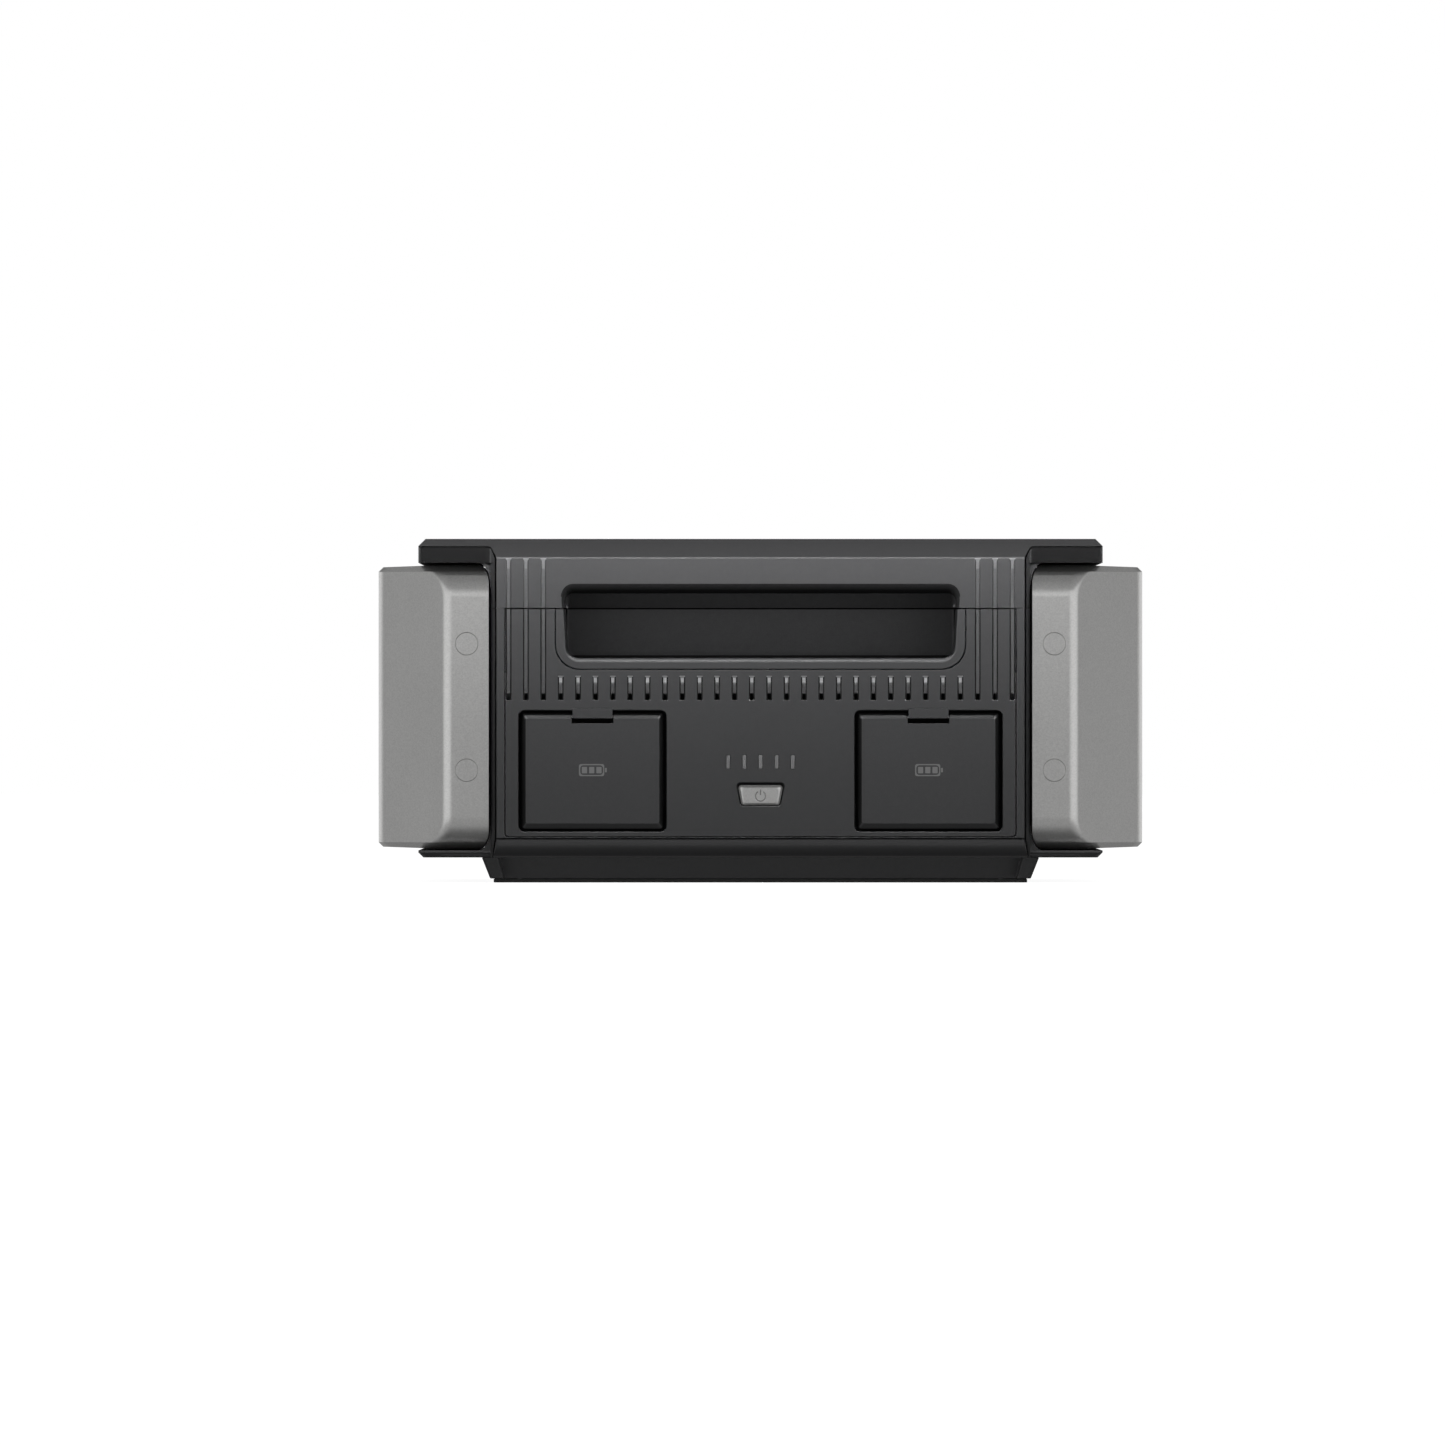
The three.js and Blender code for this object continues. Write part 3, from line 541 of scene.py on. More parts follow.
rubber = plain_finish("pad_rubber", grey(0.010), 0.8, grain_mm=0.8, depth_mm=0.03, change=0.3)
lens_plastic = plain_finish("lens_plastic", grey(0.085, -0.01), 0.45, grain_mm=0.5, change=0.06)
print_ink = plain_finish("print_ink", grey(0.065), 0.6, grain_mm=0.3, change=0.1)
sign_ink = plain_finish("sign_ink", grey(0.07), 0.6, grain_mm=0.3, change=0.1)
steel = plain_finish("zinc_steel", (0.52, 0.53, 0.55, 1.0), 0.35, metallic=1.0, grain_mm=0.6)
brass = plain_finish("contact_brass", (0.70, 0.50, 0.24, 1.0), 0.28, metallic=1.0, grain_mm=0.4)
board_mask = plain_finish("board_mask", (0.012, 0.02, 0.016, 1.0), 0.4, grain_mm=3.0)
cell_film = plain_finish("cell_film", (0.02, 0.03, 0.045, 1.0), 0.42, grain_mm=6.0)
print("finishes in all:", len(bpy.data.materials))

# %% [markdown]
# ## The grip's mouth
#
# The grip is a slot that fingers go into. Its upper lip is a large soft roll, its lower lip a
# smaller bright one, and the roll fades into the sides. So the cutter's mouth flares by a radius
# that changes round the ring: each point moves out along its own normal.

# %% A cutter for the mouth and one for the hollow behind it
MOUTH_TOP = 172.0
MOUTH = [(-114.1, 133.4, 7.0), (114.1, 133.4, 7.0), (116.2, MOUTH_TOP, 4.5), (-116.2, MOUTH_TOP, 4.5)]
ROLL_START = 167.0           # from here up the roll grows to that of the upper lip
LIP_LOW = 2.8                # radius of the lower lip
LIP_TOP = 5.8                # radius of the upper lip
LIP_BACK = 9.0               # thickness of the lips
LIP_HALF = 121.5             # half width of the solid that the grip is cut from
HOLLOW_HALF = 117.5
HOLLOW_LOW = 132.8
HOLLOW_TOP = 184.0
HOLLOW_BACK = END - 287.0


def mouth_cutter(name):
    """The mouth of the grip, flared by a roll that grows towards the upper lip."""
    ring = ring_of(MOUTH, steps=8)
    count = len(ring)
    rings = []
    flares = []
    normals = []
    for i, point in enumerate(ring):
        along = ring[(i + 1) % count] - ring[i - 1]
        normals.append(Vector((along.y, -along.x)).normalized())
        height = max(0.0, (point.y - ROLL_START) / (MOUTH_TOP - ROLL_START))
        flares.append(LIP_LOW + (LIP_TOP - LIP_LOW) * min(height, 1.0) ** 2)
    rings.append([(p.x + n.x * f, -END - 1, p.y + n.y * f) for p, n, f in zip(ring, normals, flares)])
    steps = 10
    for k in range(steps + 1):
        angle = math.pi / 2 * k / steps
        rings.append([
            (p.x + n.x * f * (1 - math.sin(angle)),
             -END + f * (1 - math.cos(angle)),
             p.y + n.y * f * (1 - math.sin(angle)))
            for p, n, f in zip(ring, normals, flares)])
    rings.append([(p.x, -END + LIP_BACK + 1, p.y) for p in ring])
    return skin(name, rings)


def hollow_cutter(name):
    """The space behind the lips, with a soft fillet all round its back wall."""
    side = [
        (-END + LIP_BACK, HOLLOW_LOW, 0.8), (-END + HOLLOW_BACK, HOLLOW_LOW, 5.0),
        (-END + HOLLOW_BACK, HOLLOW_TOP, 4.0), (-END + LIP_BACK, HOLLOW_TOP, 2.0),
    ]
    half = HOLLOW_HALF
    return prism(name, "x", side, eased(-half, 1, 4.0, -1) + eased(half, -1, 4.0, -1)[::-1])


# %% [markdown]
# ## Vents
#
# A row of thirty grooves crosses each end. A groove starts in a curved ramp that catches the light of a low
# strip and carries a painted highlight, runs down a flat floor, and ends in a slot that lets air through. The
# outer three on each side run up to the bevel of the top cover. The ring of the cutter narrows with depth,
# and its top edge follows an arc, so the ramp comes from the same rings as the sloping sides.

# %% Cutters for the grooves and their slots
VENT_PITCH = 10.33
VENT_HALF = 1.75
VENT_FLOOR_HALF = 1.0
VENT_DEPTH = 2.0
VENT_LOW = 108.5
VENT_SLOT_HALF = 1.25
VENT_SLOT_TOP = 112.6
VENT_SHORT_TOP = 123.2
VENT_LONG_TOP = 193.0
SHORT_COUNT = 12
LONG_COUNT = 3


def vent_places(kind):
    """The x of the short or of the long grooves, from left to right."""
    half = range(SHORT_COUNT) if kind == "short" else range(SHORT_COUNT, SHORT_COUNT + LONG_COUNT)
    right = [(i + 0.5) * VENT_PITCH for i in half]
    return [-x for x in reversed(right)] + right


def groove_cutter(name, x, top, ramp):
    """One groove. Ramp is the height over which it sinks to its full depth."""
    radius = (ramp * ramp + VENT_DEPTH * VENT_DEPTH) / (2 * VENT_DEPTH)
    rings = []
    for depth in (-1.0, 0.0, 0.08, 0.2, 0.45, 0.75, 1.1, 1.4, 1.65, 1.85, VENT_DEPTH):
        inside = max(depth, 0.0)
        left = VENT_DEPTH - inside
        rise = math.sqrt(max(2 * radius * left - left * left, 0.0))
        edge = 0.2 * max(0.0, 1 - inside / 0.2) ** 2
        share = min(inside / 0.6, 1.0)
        half = VENT_HALF + edge - (VENT_HALF - VENT_FLOOR_HALF) * share
        high = top - ramp + max(rise, 0.3) + edge
        outline = rectangle(x - half, x + half, VENT_LOW - edge, high, 0.45)
        rings.append([(p.x, -END + depth, p.y) for p in ring_of(outline, steps=3)])
    return skin(name, rings)


def slot_cutter(name, x):
    outline = rectangle(x - VENT_SLOT_HALF, x + VENT_SLOT_HALF, VENT_LOW + 0.25, VENT_SLOT_TOP, 0.4)
    return prism(name, "y", outline, [(-END + 1, 0.0), (-END + 14, 0.0)], steps=3)


def joined(name, pieces):
    """Several separate solids as one tool, so that one boolean does them all."""
    build = bmesh.new()
    for piece in pieces:
        build.from_mesh(piece.data)
        bpy.data.objects.remove(piece)
    return piece_of(name, build)


def long_grooves():
    return joined("long_grooves", [groove_cutter("g", x, VENT_LONG_TOP, 8.6) for x in vent_places("long")])


def short_grooves():
    return joined("short_grooves", [groove_cutter("g", x, VENT_SHORT_TOP, 7.2) for x in vent_places("short")])


def vent_slots():
    return joined("vent_slots", [slot_cutter("s", x) for x in vent_places("short") + vent_places("long")])


print("vents:", len(vent_places("short")) + len(vent_places("long")), "to each end")

# %% [markdown]
# ## Where painted light and shade go
#
# One moulding carries lighter and darker copies of its plastic, which paint light and shade. The flanks
# beside an end face get painted shade, darker than the face. The side walls of seams, vents and pockets are
# painted close to black, painted shade where hardly any light comes back out of them. A vent's floor is
# smoother, since the tool can't be textured deep in a groove, and painted lighter; its ramp gets a painted
# highlight. So each of these tests looks at the centre and the normal of a face and says whether it belongs.

# %% Tests for a face's place
VENT_FLOOR_MAX = 2.5         # no vent reaches deeper than this
ABOVE_PORTS = 107.0          # higher than this a panel has only vents
RAMP_LOW = 116.0             # and higher than this only their ramps


def depth_of(centre):
    """How far a point lies behind the nearer end face."""
    return END - abs(centre.y)


def on_flank(centre, normal):
    """Whether a face gets painted shade: the flanks beside an end face, or a groove's side wall."""
    beside = abs(centre.x) > FACE_HALF and normal.z < 0.5
    wall = abs(normal.x) > 0.45 and depth_of(centre) < VENT_FLOOR_MAX
    return beside or wall


def in_seam(centre, normal):
    """Whether a face is a side wall of a seam, a vent, a pocket or the key's well, which gets painted shade.
    """
    depth = depth_of(centre)
    wall = abs(normal.y) < 0.35 and depth > 0.1
    vent_wall = abs(normal.x) > 0.45 and 0.1 < depth < VENT_FLOOR_MAX
    well = 0.46 < depth < 8 and centre.z < 62 and abs(centre.x) < 20
    return wall or vent_wall or well


def in_vent(centre, normal):
    """Whether a face is the floor or the ramp of a vent, which gets painted light."""
    return abs(normal.y) > 0.8 and 0.05 < depth_of(centre) < VENT_FLOOR_MAX and abs(normal.x) < 0.4


def on_ramp(centre, normal):
    """Whether a face is the curved ramp at the top of a vent, which gets a painted highlight."""
    return in_vent(centre, normal) and centre.z > RAMP_LOW and normal.z < -0.12


def on_glint(centre, normal):
    """Whether a face is the part of a ramp that gets the brightest painted highlight."""
    return on_ramp(centre, normal) and 0.7 < depth_of(centre) < 1.7


# %% [markdown]
# ## Top cover
#
# The cover is one moulding: an upper plate with a wide flange along each side, and an end block at
# each end. Seen from above the block's sides sweep out into the flange in a soft fillet, and one
# bevel crosses both. So the plate is one T-ended outline, cut by a bevelled side view and by a
# chamfered end view. The tray in its top takes the plinth of the next battery. Tongues reach down
# behind the seam, as on a real shell, so that no light shines through it.

# %% Plan outlines of plate and web
def both_ends(front_right):
    """A closed plan from its front-right quarter, listed from the middle outwards."""
    rear_right = [(x, -y, r) for x, y, r in reversed(front_right)]
    rear_left = [(-x, -y, r) for x, y, r in front_right]
    front_left = [(-x, y, r) for x, y, r in reversed(front_right)]
    return front_right + rear_right + rear_left + front_left


plate_plan = both_ends([(FACE_HALF, -END, 0.5), (160.4, -FLANGE_END, 5.5), (FLANGE_HALF, -FLANGE_END, 2.2)])
web_plan = both_ends([(FACE_HALF, -END, 0.5), (160.4, -FLANGE_END, 2.5), (WEB_HALF, -300.0, 0.0)])
print("plan outlines:", len(plate_plan), "and", len(web_plan), "corners")

# %% Shape the top cover
END_BLOCK = 24.0             # depth of the narrower block at each end
LINE_IN = FACE_HALF + 0.05   # the shadow line beside an end face runs from here
LINE_OUT = FACE_HALF + 1.05  # to here
TONGUE_IN = 121.8            # the tongues behind the seam start beside the grip
TONGUE_OUT = 158.0           # and end behind the corner of the block
TONGUE_DROP = 1.5            # they reach this far below the cover
TRAY_HALF = 167.3
TRAY_END = 298.5
TRAY_FLOOR = 191.5
TRAY_DRAFT = 4.6
FLANGE_CHAMFER = 4.3
FLANGE_FACE_TOP = BEVEL_LOW + (END - FLANGE_END) * (TOP - BEVEL_LOW) / BEVEL_BACK


def inside_blocks(low, high, end_low):
    """Cutters for the hollow inside of a shell: the long middle and the two narrower ends."""
    wide, narrow = WEB_HALF - WALL, FACE_HALF - WALL
    return [
        block("inside", -wide, wide, -END + END_BLOCK, END - END_BLOCK, low, high),
        block("inside_ends", -narrow, narrow, -END + WALL, END - WALL, end_low, high),
    ]


def channel_fillets(name, flange_z, up):
    """Fills the inner corners of the channels that hold the guards. Up is 1 over a lower flange."""
    corners = [
        (WEB_HALF - 6, flange_z - 3 * up, 0.0), (190.0, flange_z - 3 * up, 0.0), (190.0, flange_z, 0.0),
        (WEB_HALF + 4.2, flange_z, 5.4), (WEB_HALF, flange_z + 7.7 * up, 14.4),
        (WEB_HALF, flange_z + 14 * up, 0.0), (WEB_HALF - 6, flange_z + 14 * up, 0.0),
    ]
    if up < 0:
        corners.reverse()
    right = prism(name, "y", corners, [(-FLANGE_END + 1, 0.0), (FLANGE_END - 1, 0.0)], steps=8)
    return [right, mirrored(right, "left_fillet")]


def shadow_line_cutter():
    """The dark line up the side of the end block, round its shoulder and out along the flange."""
    shoulder = FLANGE_FACE_TOP
    corners = [
        (LINE_IN, 150.0, 0.0), (LINE_OUT, 150.0, 0.0), (LINE_OUT, 193.2, 3.0),
        (160.9, shoulder - 0.7, 3.0), (210.0, shoulder - 0.7, 0.0), (210.0, shoulder, 0.0),
        (160.4, shoulder, 3.0), (LINE_IN, 193.6, 3.0),
    ]
    return prism("shadow_line", "y", corners, [(-END - 2, 0.0), (-END + 9.7, 0.0)], steps=5)


def seam_tongues(gap=0.0):
    """Tongues of the cover that reach behind the seam, so that no light gets through it."""
    face = -END + WALL
    low = COVER_SEAM - TONGUE_DROP - gap
    bars = [
        block("root", TONGUE_IN, TONGUE_OUT, face - 1.0, face + 1.6, COVER_SEAM + 0.05, COVER_SEAM + 6),
        block("tongue", TONGUE_IN, TONGUE_OUT + gap, face + 0.2 - gap, face + 1.6 + gap, low, COVER_SEAM + 1),
        block("side_tongue", 157.4 - gap, 160.6 + gap, -300.0 - gap, -298.0 + gap, low, COVER_SEAM + 1),
    ]
    bars += [mirrored(bar, "left_bar") for bar in bars]
    bars += [turned(bar, "rear_bar") for bar in bars]
    return joined("tongues", bars)


def make_top_cover():
    cover = prism("top_shell", "z", plate_plan, [(FLANGE_UNDER, 0.0), (TOP, 0.0)])
    side_view = prism("side_view", "x", [
        (-END, FLANGE_UNDER - 1, 0), (END, FLANGE_UNDER - 1, 0), (END, BEVEL_LOW, 2.2),
        (END - BEVEL_BACK, TOP, 2.0), (-END + BEVEL_BACK, TOP, 2.0), (-END, BEVEL_LOW, 2.2),
    ], [(-FLANGE_HALF - 1, 0.0), (FLANGE_HALF + 1, 0.0)])
    end_view = prism("end_view", "y", [
        (-FLANGE_HALF, FLANGE_UNDER - 1, 0), (FLANGE_HALF, FLANGE_UNDER - 1, 0),
        (FLANGE_HALF, TOP - FLANGE_CHAMFER, 0), (FLANGE_HALF - FLANGE_CHAMFER, TOP, 0),
        (-FLANGE_HALF + FLANGE_CHAMFER, TOP, 0), (-FLANGE_HALF, TOP - FLANGE_CHAMFER, 0),
    ], [(-END - 1, 0.0), (END + 1, 0.0)])
    combine(cover, [side_view, end_view], "INTERSECT")
    web = prism("web", "z", web_plan, [(COVER_SEAM - 12, 0.0), (FLANGE_UNDER + 2, 0.0)])
    combine(cover, [web], "UNION")
    soften(cover, 0.75)
    combine(cover, channel_fillets("upper_fillet", FLANGE_UNDER, -1), "UNION")
    tray_corners = rectangle(-TRAY_HALF, TRAY_HALF, -TRAY_END, TRAY_END, 9.0)
    tray_sections = eased(TRAY_FLOOR, 1, 2.0, -1, -TRAY_DRAFT) + [(TOP - 1.0, 0.0)]
    tray_sections += [(z, grow) for z, grow in reversed(eased(TOP, -1, 1.0, 1))] + [(TOP + 1, 1.0)]
    tools = [
        block("below", -300, 300, -400, 400, COVER_SEAM - 40, COVER_SEAM),
        prism("tray", "z", tray_corners, tray_sections),
    ] + inside_blocks(100, TRAY_FLOOR - WALL, 100)
    combine(cover, tools, "DIFFERENCE")
    lip = block(
        "lip", -LIP_HALF, LIP_HALF, -END + WALL - 1, -END + LIP_BACK, COVER_SEAM, TRAY_FLOOR - WALL + 1)
    combine(cover, [lip, turned(lip, "rear_lip")], "UNION")
    combine(cover, [seam_tongues()], "UNION")
    mouth = mouth_cutter("mouth")
    grooves = long_grooves()
    line = shadow_line_cutter()
    tools = [mouth, grooves, line, mirrored(line, "left_line")]
    tools += [turned(tool, "rear_tool") for tool in tools]
    return combine(cover, tools, "DIFFERENCE")


top_shell = make_top_cover()
finish_piece(top_shell, case_plastic, "case", ["top_cover"])
# Painted shade on the flanks beside an end face and on the side walls of grooves.
second_finish(top_shell, flank_plastic, on_flank)
# Painted shade: the front of the upper flange is painted near black.
second_finish(top_shell, flange_plastic, lambda centre, normal: (
    abs(centre.x) > 159 and abs(normal.y) > 0.8 and centre.z > FLANGE_UNDER))
# Painted shade: the top, the tray and the bevel look upwards and get a darker copy.
second_finish(top_shell, top_plastic, lambda centre, normal: normal.z > 0.6)
# Painted light on the floors of the long vents.
second_finish(top_shell, vent_plastic, in_vent)
# Painted highlight on the ramps of the long vents.
second_finish(top_shell, ramp_plastic, on_ramp)
# Painted shade: the upper lip and the walls of the mouth are painted near black.
second_finish(top_shell, lip_plastic, lambda centre, normal: (
    abs(centre.x) < 124 and 160 < centre.z < 181 and END - abs(centre.y) > 0.02))
# Painted shade: the edge line under the bevel gets a slightly darker copy that dims its highlight.
second_finish(top_shell, edge_plastic, lambda centre, normal: (
    centre.z > 192.8 and abs(normal.y) > 0.6 and 0.1 < normal.z < 0.6 and abs(normal.x) < 0.3))

# %% [markdown]
# ## Lower housing
#
# The housing is the frame round the end panels. Its lower front edge rolls under in a 10 mm radius, and a
# narrow groove divides the frame's face from that roll and from its flared sides. A thin flange runs along
# the bottom, below the guards. The housing looks darker than the face, but its sides, its flange and the
# plinth get a lighter copy of the plastic, painted light where little light reaches; the flanks and the walls
# of the groove and the seams get painted shade.

# %% Shape the lower housing
PANEL_HALF = 152.2
PANEL_LOW = 27.0
ROLL = 10.0
EDGE_GROOVE = 1.0
GROOVE_Z = 25.7              # lower edge of the groove under the panel
FLOOR_TOP = 19.0


def edge_groove_cutter():
    """The narrow line of shadow under the face of one end and up both its sides."""
    half = FACE_HALF + 0.4
    across = block("across", -half, half, -END - 2, -END + 1.6, GROOVE_Z, GROOVE_Z + EDGE_GROOVE)
    right = prism("up", "y", [
        (159.5, 12.0, 0.0), (160.3, 12.0, 0.0), (LINE_OUT, GROOVE_Z, 2.0), (LINE_OUT, 220.0, 0.0),
        (LINE_IN, 220.0, 0.0), (LINE_IN, GROOVE_Z, 2.0)], [(-END - 2, 0.0), (-END + 9.5, 0.0)], steps=4)
    left = mirrored(right, "up_left")
    combine(across, [right, left], "UNION")
    return across


def make_lower_housing():
    housing = prism("lower_shell", "z", web_plan, [(HOUSING_LOW, 0.0), (HOUSING_SEAM + 12, 0.0)])
    side_view = prism("side_view", "x", [
        (-END, HOUSING_LOW, ROLL), (END, HOUSING_LOW, ROLL), (END, 200, 0), (-END, 200, 0),
    ], [(-WEB_HALF - 2, 0.0), (WEB_HALF + 2, 0.0)], steps=12)
    combine(housing, [side_view], "INTERSECT")
    flange = prism("flange", "z", both_ends([(150.0, -FLANGE_END, 0.0), (FLANGE_HALF, -FLANGE_END, 2.2)]), [
        (HOUSING_LOW, -3.0), (HOUSING_LOW + 3.0, 0.0), (LOWER_FLANGE_TOP, 0.0)])
    combine(housing, [flange], "UNION")
    soften(housing, 0.5)
    combine(housing, channel_fillets("lower_fillet", LOWER_FLANGE_TOP, 1), "UNION")
    opening = prism("opening", "y", [
        (-PANEL_HALF, PANEL_LOW, 2.5), (PANEL_HALF, PANEL_LOW, 2.5),
        (PANEL_HALF, 220, 0), (-PANEL_HALF, 220, 0),
    ], cutter_sections(-END, -END + WALL + 1, 0.2))
    groove = edge_groove_cutter()
    tools = [block("above", -300, 300, -400, 400, HOUSING_SEAM, HOUSING_SEAM + 40)]
    tools += inside_blocks(FLOOR_TOP, 200, PANEL_LOW - 3)
    tools += [opening, turned(opening, "rear_opening")]
    tools += [groove, turned(groove, "rear_groove"), seam_tongues(0.1)]
    return combine(housing, tools, "DIFFERENCE")


lower_shell = make_lower_housing()
finish_piece(lower_shell, case_plastic, "case", ["lower_housing"])
# Painted light: the sides, the lower flange and the faces behind the roll get a lighter copy.
second_finish(lower_shell, frame_plastic, lambda centre, normal: (
    abs(centre.x) > FACE_HALF or abs(centre.y) < END - ROLL))
# Painted shade on the flanks and on the grooves' side walls.
second_finish(lower_shell, flank_plastic, lambda centre, normal: centre.z > 22 and on_flank(centre, normal))
# Painted shade: the walls of the groove and the seams by the face are painted near black.
second_finish(lower_shell, flange_plastic, lambda centre, normal: (
    abs(centre.x) < FACE_HALF + 1 and centre.z > 24 and in_seam(centre, normal)))

# %% [markdown]
# ## End panels
#
# The front panel is an insert between the housing and the cover, with a notch for the grip's cup.
# Its pockets, vents, key well and lens holes are all cut with eased mouths, because it is the
# eased edges that draw each opening in light. The rear panel has only the vents.

# %% Shape the panels
CUP_HALF = 122.3
CUP_LOW = 126.6
CUP_RADIUS = 14.6
PORT_X = 99.9
PORT_HALF = 43.9
PORT_LOW = 30.4
PORT_TOP = 102.5
PORT_DEPTH = 26.5
POCKET_WALL = 2.5
SOCKET_HALF = 24.3
SOCKET_LOW = 42.7
SOCKET_TOP = 77.3
KNUCKLE_HALF = 11.9          # the knuckle over each cover
KNUCKLE_LOW = 97.7
KNUCKLE_TOP = 103.65
KEY_Z = 51.9
KEY_HALF_TALL = 5.3
KEY_HALF_LOW = 10.45
KEY_HALF_TOP = 12.3
LENS_PITCH = 9.6
LENS_Z = 71.75
LENS_XS = [LENS_PITCH * i for i in (-2, -1, 0, 1, 2)]
LENS_HOLE = (1.25, 4.2, 0.7) # half width, half height and corner radius
LENS_BODY = (1.03, 3.95, 0.5)
PANEL_TOP = HOUSING_SEAM - 0.5
SEAM_EASE = 0.14             # the edges at a seam are almost sharp


def trapezoid(half_low, half_top, low, top, radius):
    return [
        (-half_low, low, radius), (half_low, low, radius), (half_top, top, radius), (-half_top, top, radius)]


def make_panel(name):
    half = PANEL_HALF - 2 * SEAM
    outline = [
        (-half, PANEL_LOW + 2 * SEAM, 2.2), (half, PANEL_LOW + 2 * SEAM, 2.2), (half, PANEL_TOP, 0.0),
        (CUP_HALF, PANEL_TOP, 0.0), (CUP_HALF, CUP_LOW, CUP_RADIUS), (-CUP_HALF, CUP_LOW, CUP_RADIUS),
        (-CUP_HALF, PANEL_TOP, 0.0), (-half, PANEL_TOP, 0.0),
    ]
    panel = prism(name, "y", outline, solid_sections(-END, -END + WALL, SEAM_EASE), steps=10)
    return combine(panel, [long_grooves(), short_grooves(), vent_slots()], "DIFFERENCE")


def key_well():
    """The sloping well round the power key, deeper above the key than below it."""
    bottom = KEY_Z - KEY_HALF_TALL
    top = KEY_Z + KEY_HALF_TALL
    mouth = trapezoid(KEY_HALF_LOW + 1.35, KEY_HALF_TOP + 2.3, bottom - 1.0, top + 2.3, 2.2)
    floor = trapezoid(KEY_HALF_LOW + 0.8, KEY_HALF_TOP + 1.15, bottom - 0.5, top + 0.9, 1.8)
    levels = [(-1.0, mouth, 0.5), (0.0, mouth, 0.5), (0.15, mouth, 0.22), (0.45, mouth, 0.0),
              (1.5, floor, 0.0), (6.0, floor, 0.0)]
    return skin("key_well", [
        [(p.x, -END + depth, p.y) for p in ring_of(corners, grow, 5)] for depth, corners, grow in levels])


def make_front_panel():
    panel = make_panel("front_skin")
    back = -END + PORT_DEPTH
    half = PORT_HALF + POCKET_WALL
    shells = [block(
        "pocket_shell", x - half, x + half, -END + WALL - 1, back + POCKET_WALL,
        PORT_LOW - POCKET_WALL, PORT_TOP + POCKET_WALL) for x in (-PORT_X, PORT_X)]
    combine(panel, shells, "UNION")
    tools = [key_well()]
    for x in (-PORT_X, PORT_X):
        mouth = rectangle(x - PORT_HALF, x + PORT_HALF, PORT_LOW, PORT_TOP, 3.5)
        tools.append(prism("pocket", "y", mouth, cutter_sections(-END, back, 0.55)))
        hole = rectangle(x - SOCKET_HALF, x + SOCKET_HALF, SOCKET_LOW, SOCKET_TOP, 4.0)
        tools.append(prism("socket_hole", "y", hole, [(back - 1, 0.0), (back + 4, 0.0)]))
        half = KNUCKLE_HALF + 0.15
        tools.append(block(
            "hinge_slot", x - half, x + half, -END - 1, -END + 7, PORT_TOP - 1, KNUCKLE_TOP + 0.2))
    for x in LENS_XS:
        hole = centred(x, LENS_Z, *LENS_HOLE)
        tools.append(prism("lens_hole", "y", hole, cutter_sections(-END, -END + WALL + 1, 0.15), steps=3))
    return combine(panel, tools, "DIFFERENCE")


def finish_panel(panel, node):
    """Gives a panel its finishes and puts it on the case in place of its CAD node."""
    finish_piece(panel, case_plastic, "case", [node])
    # Painted light on the vents' floors.
    second_finish(
        panel, vent_plastic, lambda centre, normal: centre.z > ABOVE_PORTS and in_vent(centre, normal))
    # Painted highlight on the vents' ramps, and a brighter one on the band where it shows most.
    second_finish(panel, ramp_plastic, on_ramp)
    second_finish(panel, glint_plastic, on_glint)
    # Painted shade: the walls of seams, vents, pockets and the key's well are painted near black.
    second_finish(panel, flange_plastic, in_seam)


finish_panel(make_front_panel(), "front_panel")
pattern = make_panel("panel_pattern")
finish_panel(turned(pattern, "rear_skin"), "rear_panel")
bpy.data.objects.remove(pattern)

# %% [markdown]
# ## Grip cup and hood
#
# The cup lines the lower half of the grip and carries the lower lip. The hood lines the upper half. They meet
# at the same height as the case's seam, so that a fine line crosses the back wall of the grip, as it does
# where two mouldings meet. The back wall carries painted light, weaker on the hood, so the top of the grip
# reads shaded. The upper lip, the sides and the seam round the cup are painted near black, painted shade.

# %% Shape the cup and the hood
def make_cup(name):
    half = CUP_HALF - 2 * SEAM
    outline = [
        (-half, CUP_LOW + 2 * SEAM, CUP_RADIUS), (half, CUP_LOW + 2 * SEAM, CUP_RADIUS),
        (half, PANEL_TOP, 0.0), (-half, PANEL_TOP, 0.0),
    ]
    cup = prism(name, "y", outline, solid_sections(-END, -END + HOLLOW_BACK + 4, SEAM_EASE), steps=10)
    return combine(cup, [mouth_cutter("mouth"), hollow_cutter("hollow")], "DIFFERENCE")


def outside_cup(centre, normal):
    """Whether a face belongs to the cup's outer wall, in the seam round it, which gets painted shade."""
    across = max(abs(centre.x) - CUP_HALF + CUP_RADIUS, 0)
    below = max(CUP_LOW + CUP_RADIUS - centre.z, 0)
    return abs(normal.y) < 0.35 and math.hypot(across, below) > CUP_RADIUS - 2.5


def make_hood(name):
    front, back = -END + LIP_BACK + 0.2, -END + HOLLOW_BACK + 4
    hood = block(name, -LIP_HALF, LIP_HALF, front, back, COVER_SEAM, TRAY_FLOOR - WALL - 0.2)
    return combine(hood, [hollow_cutter("hollow")], "DIFFERENCE")


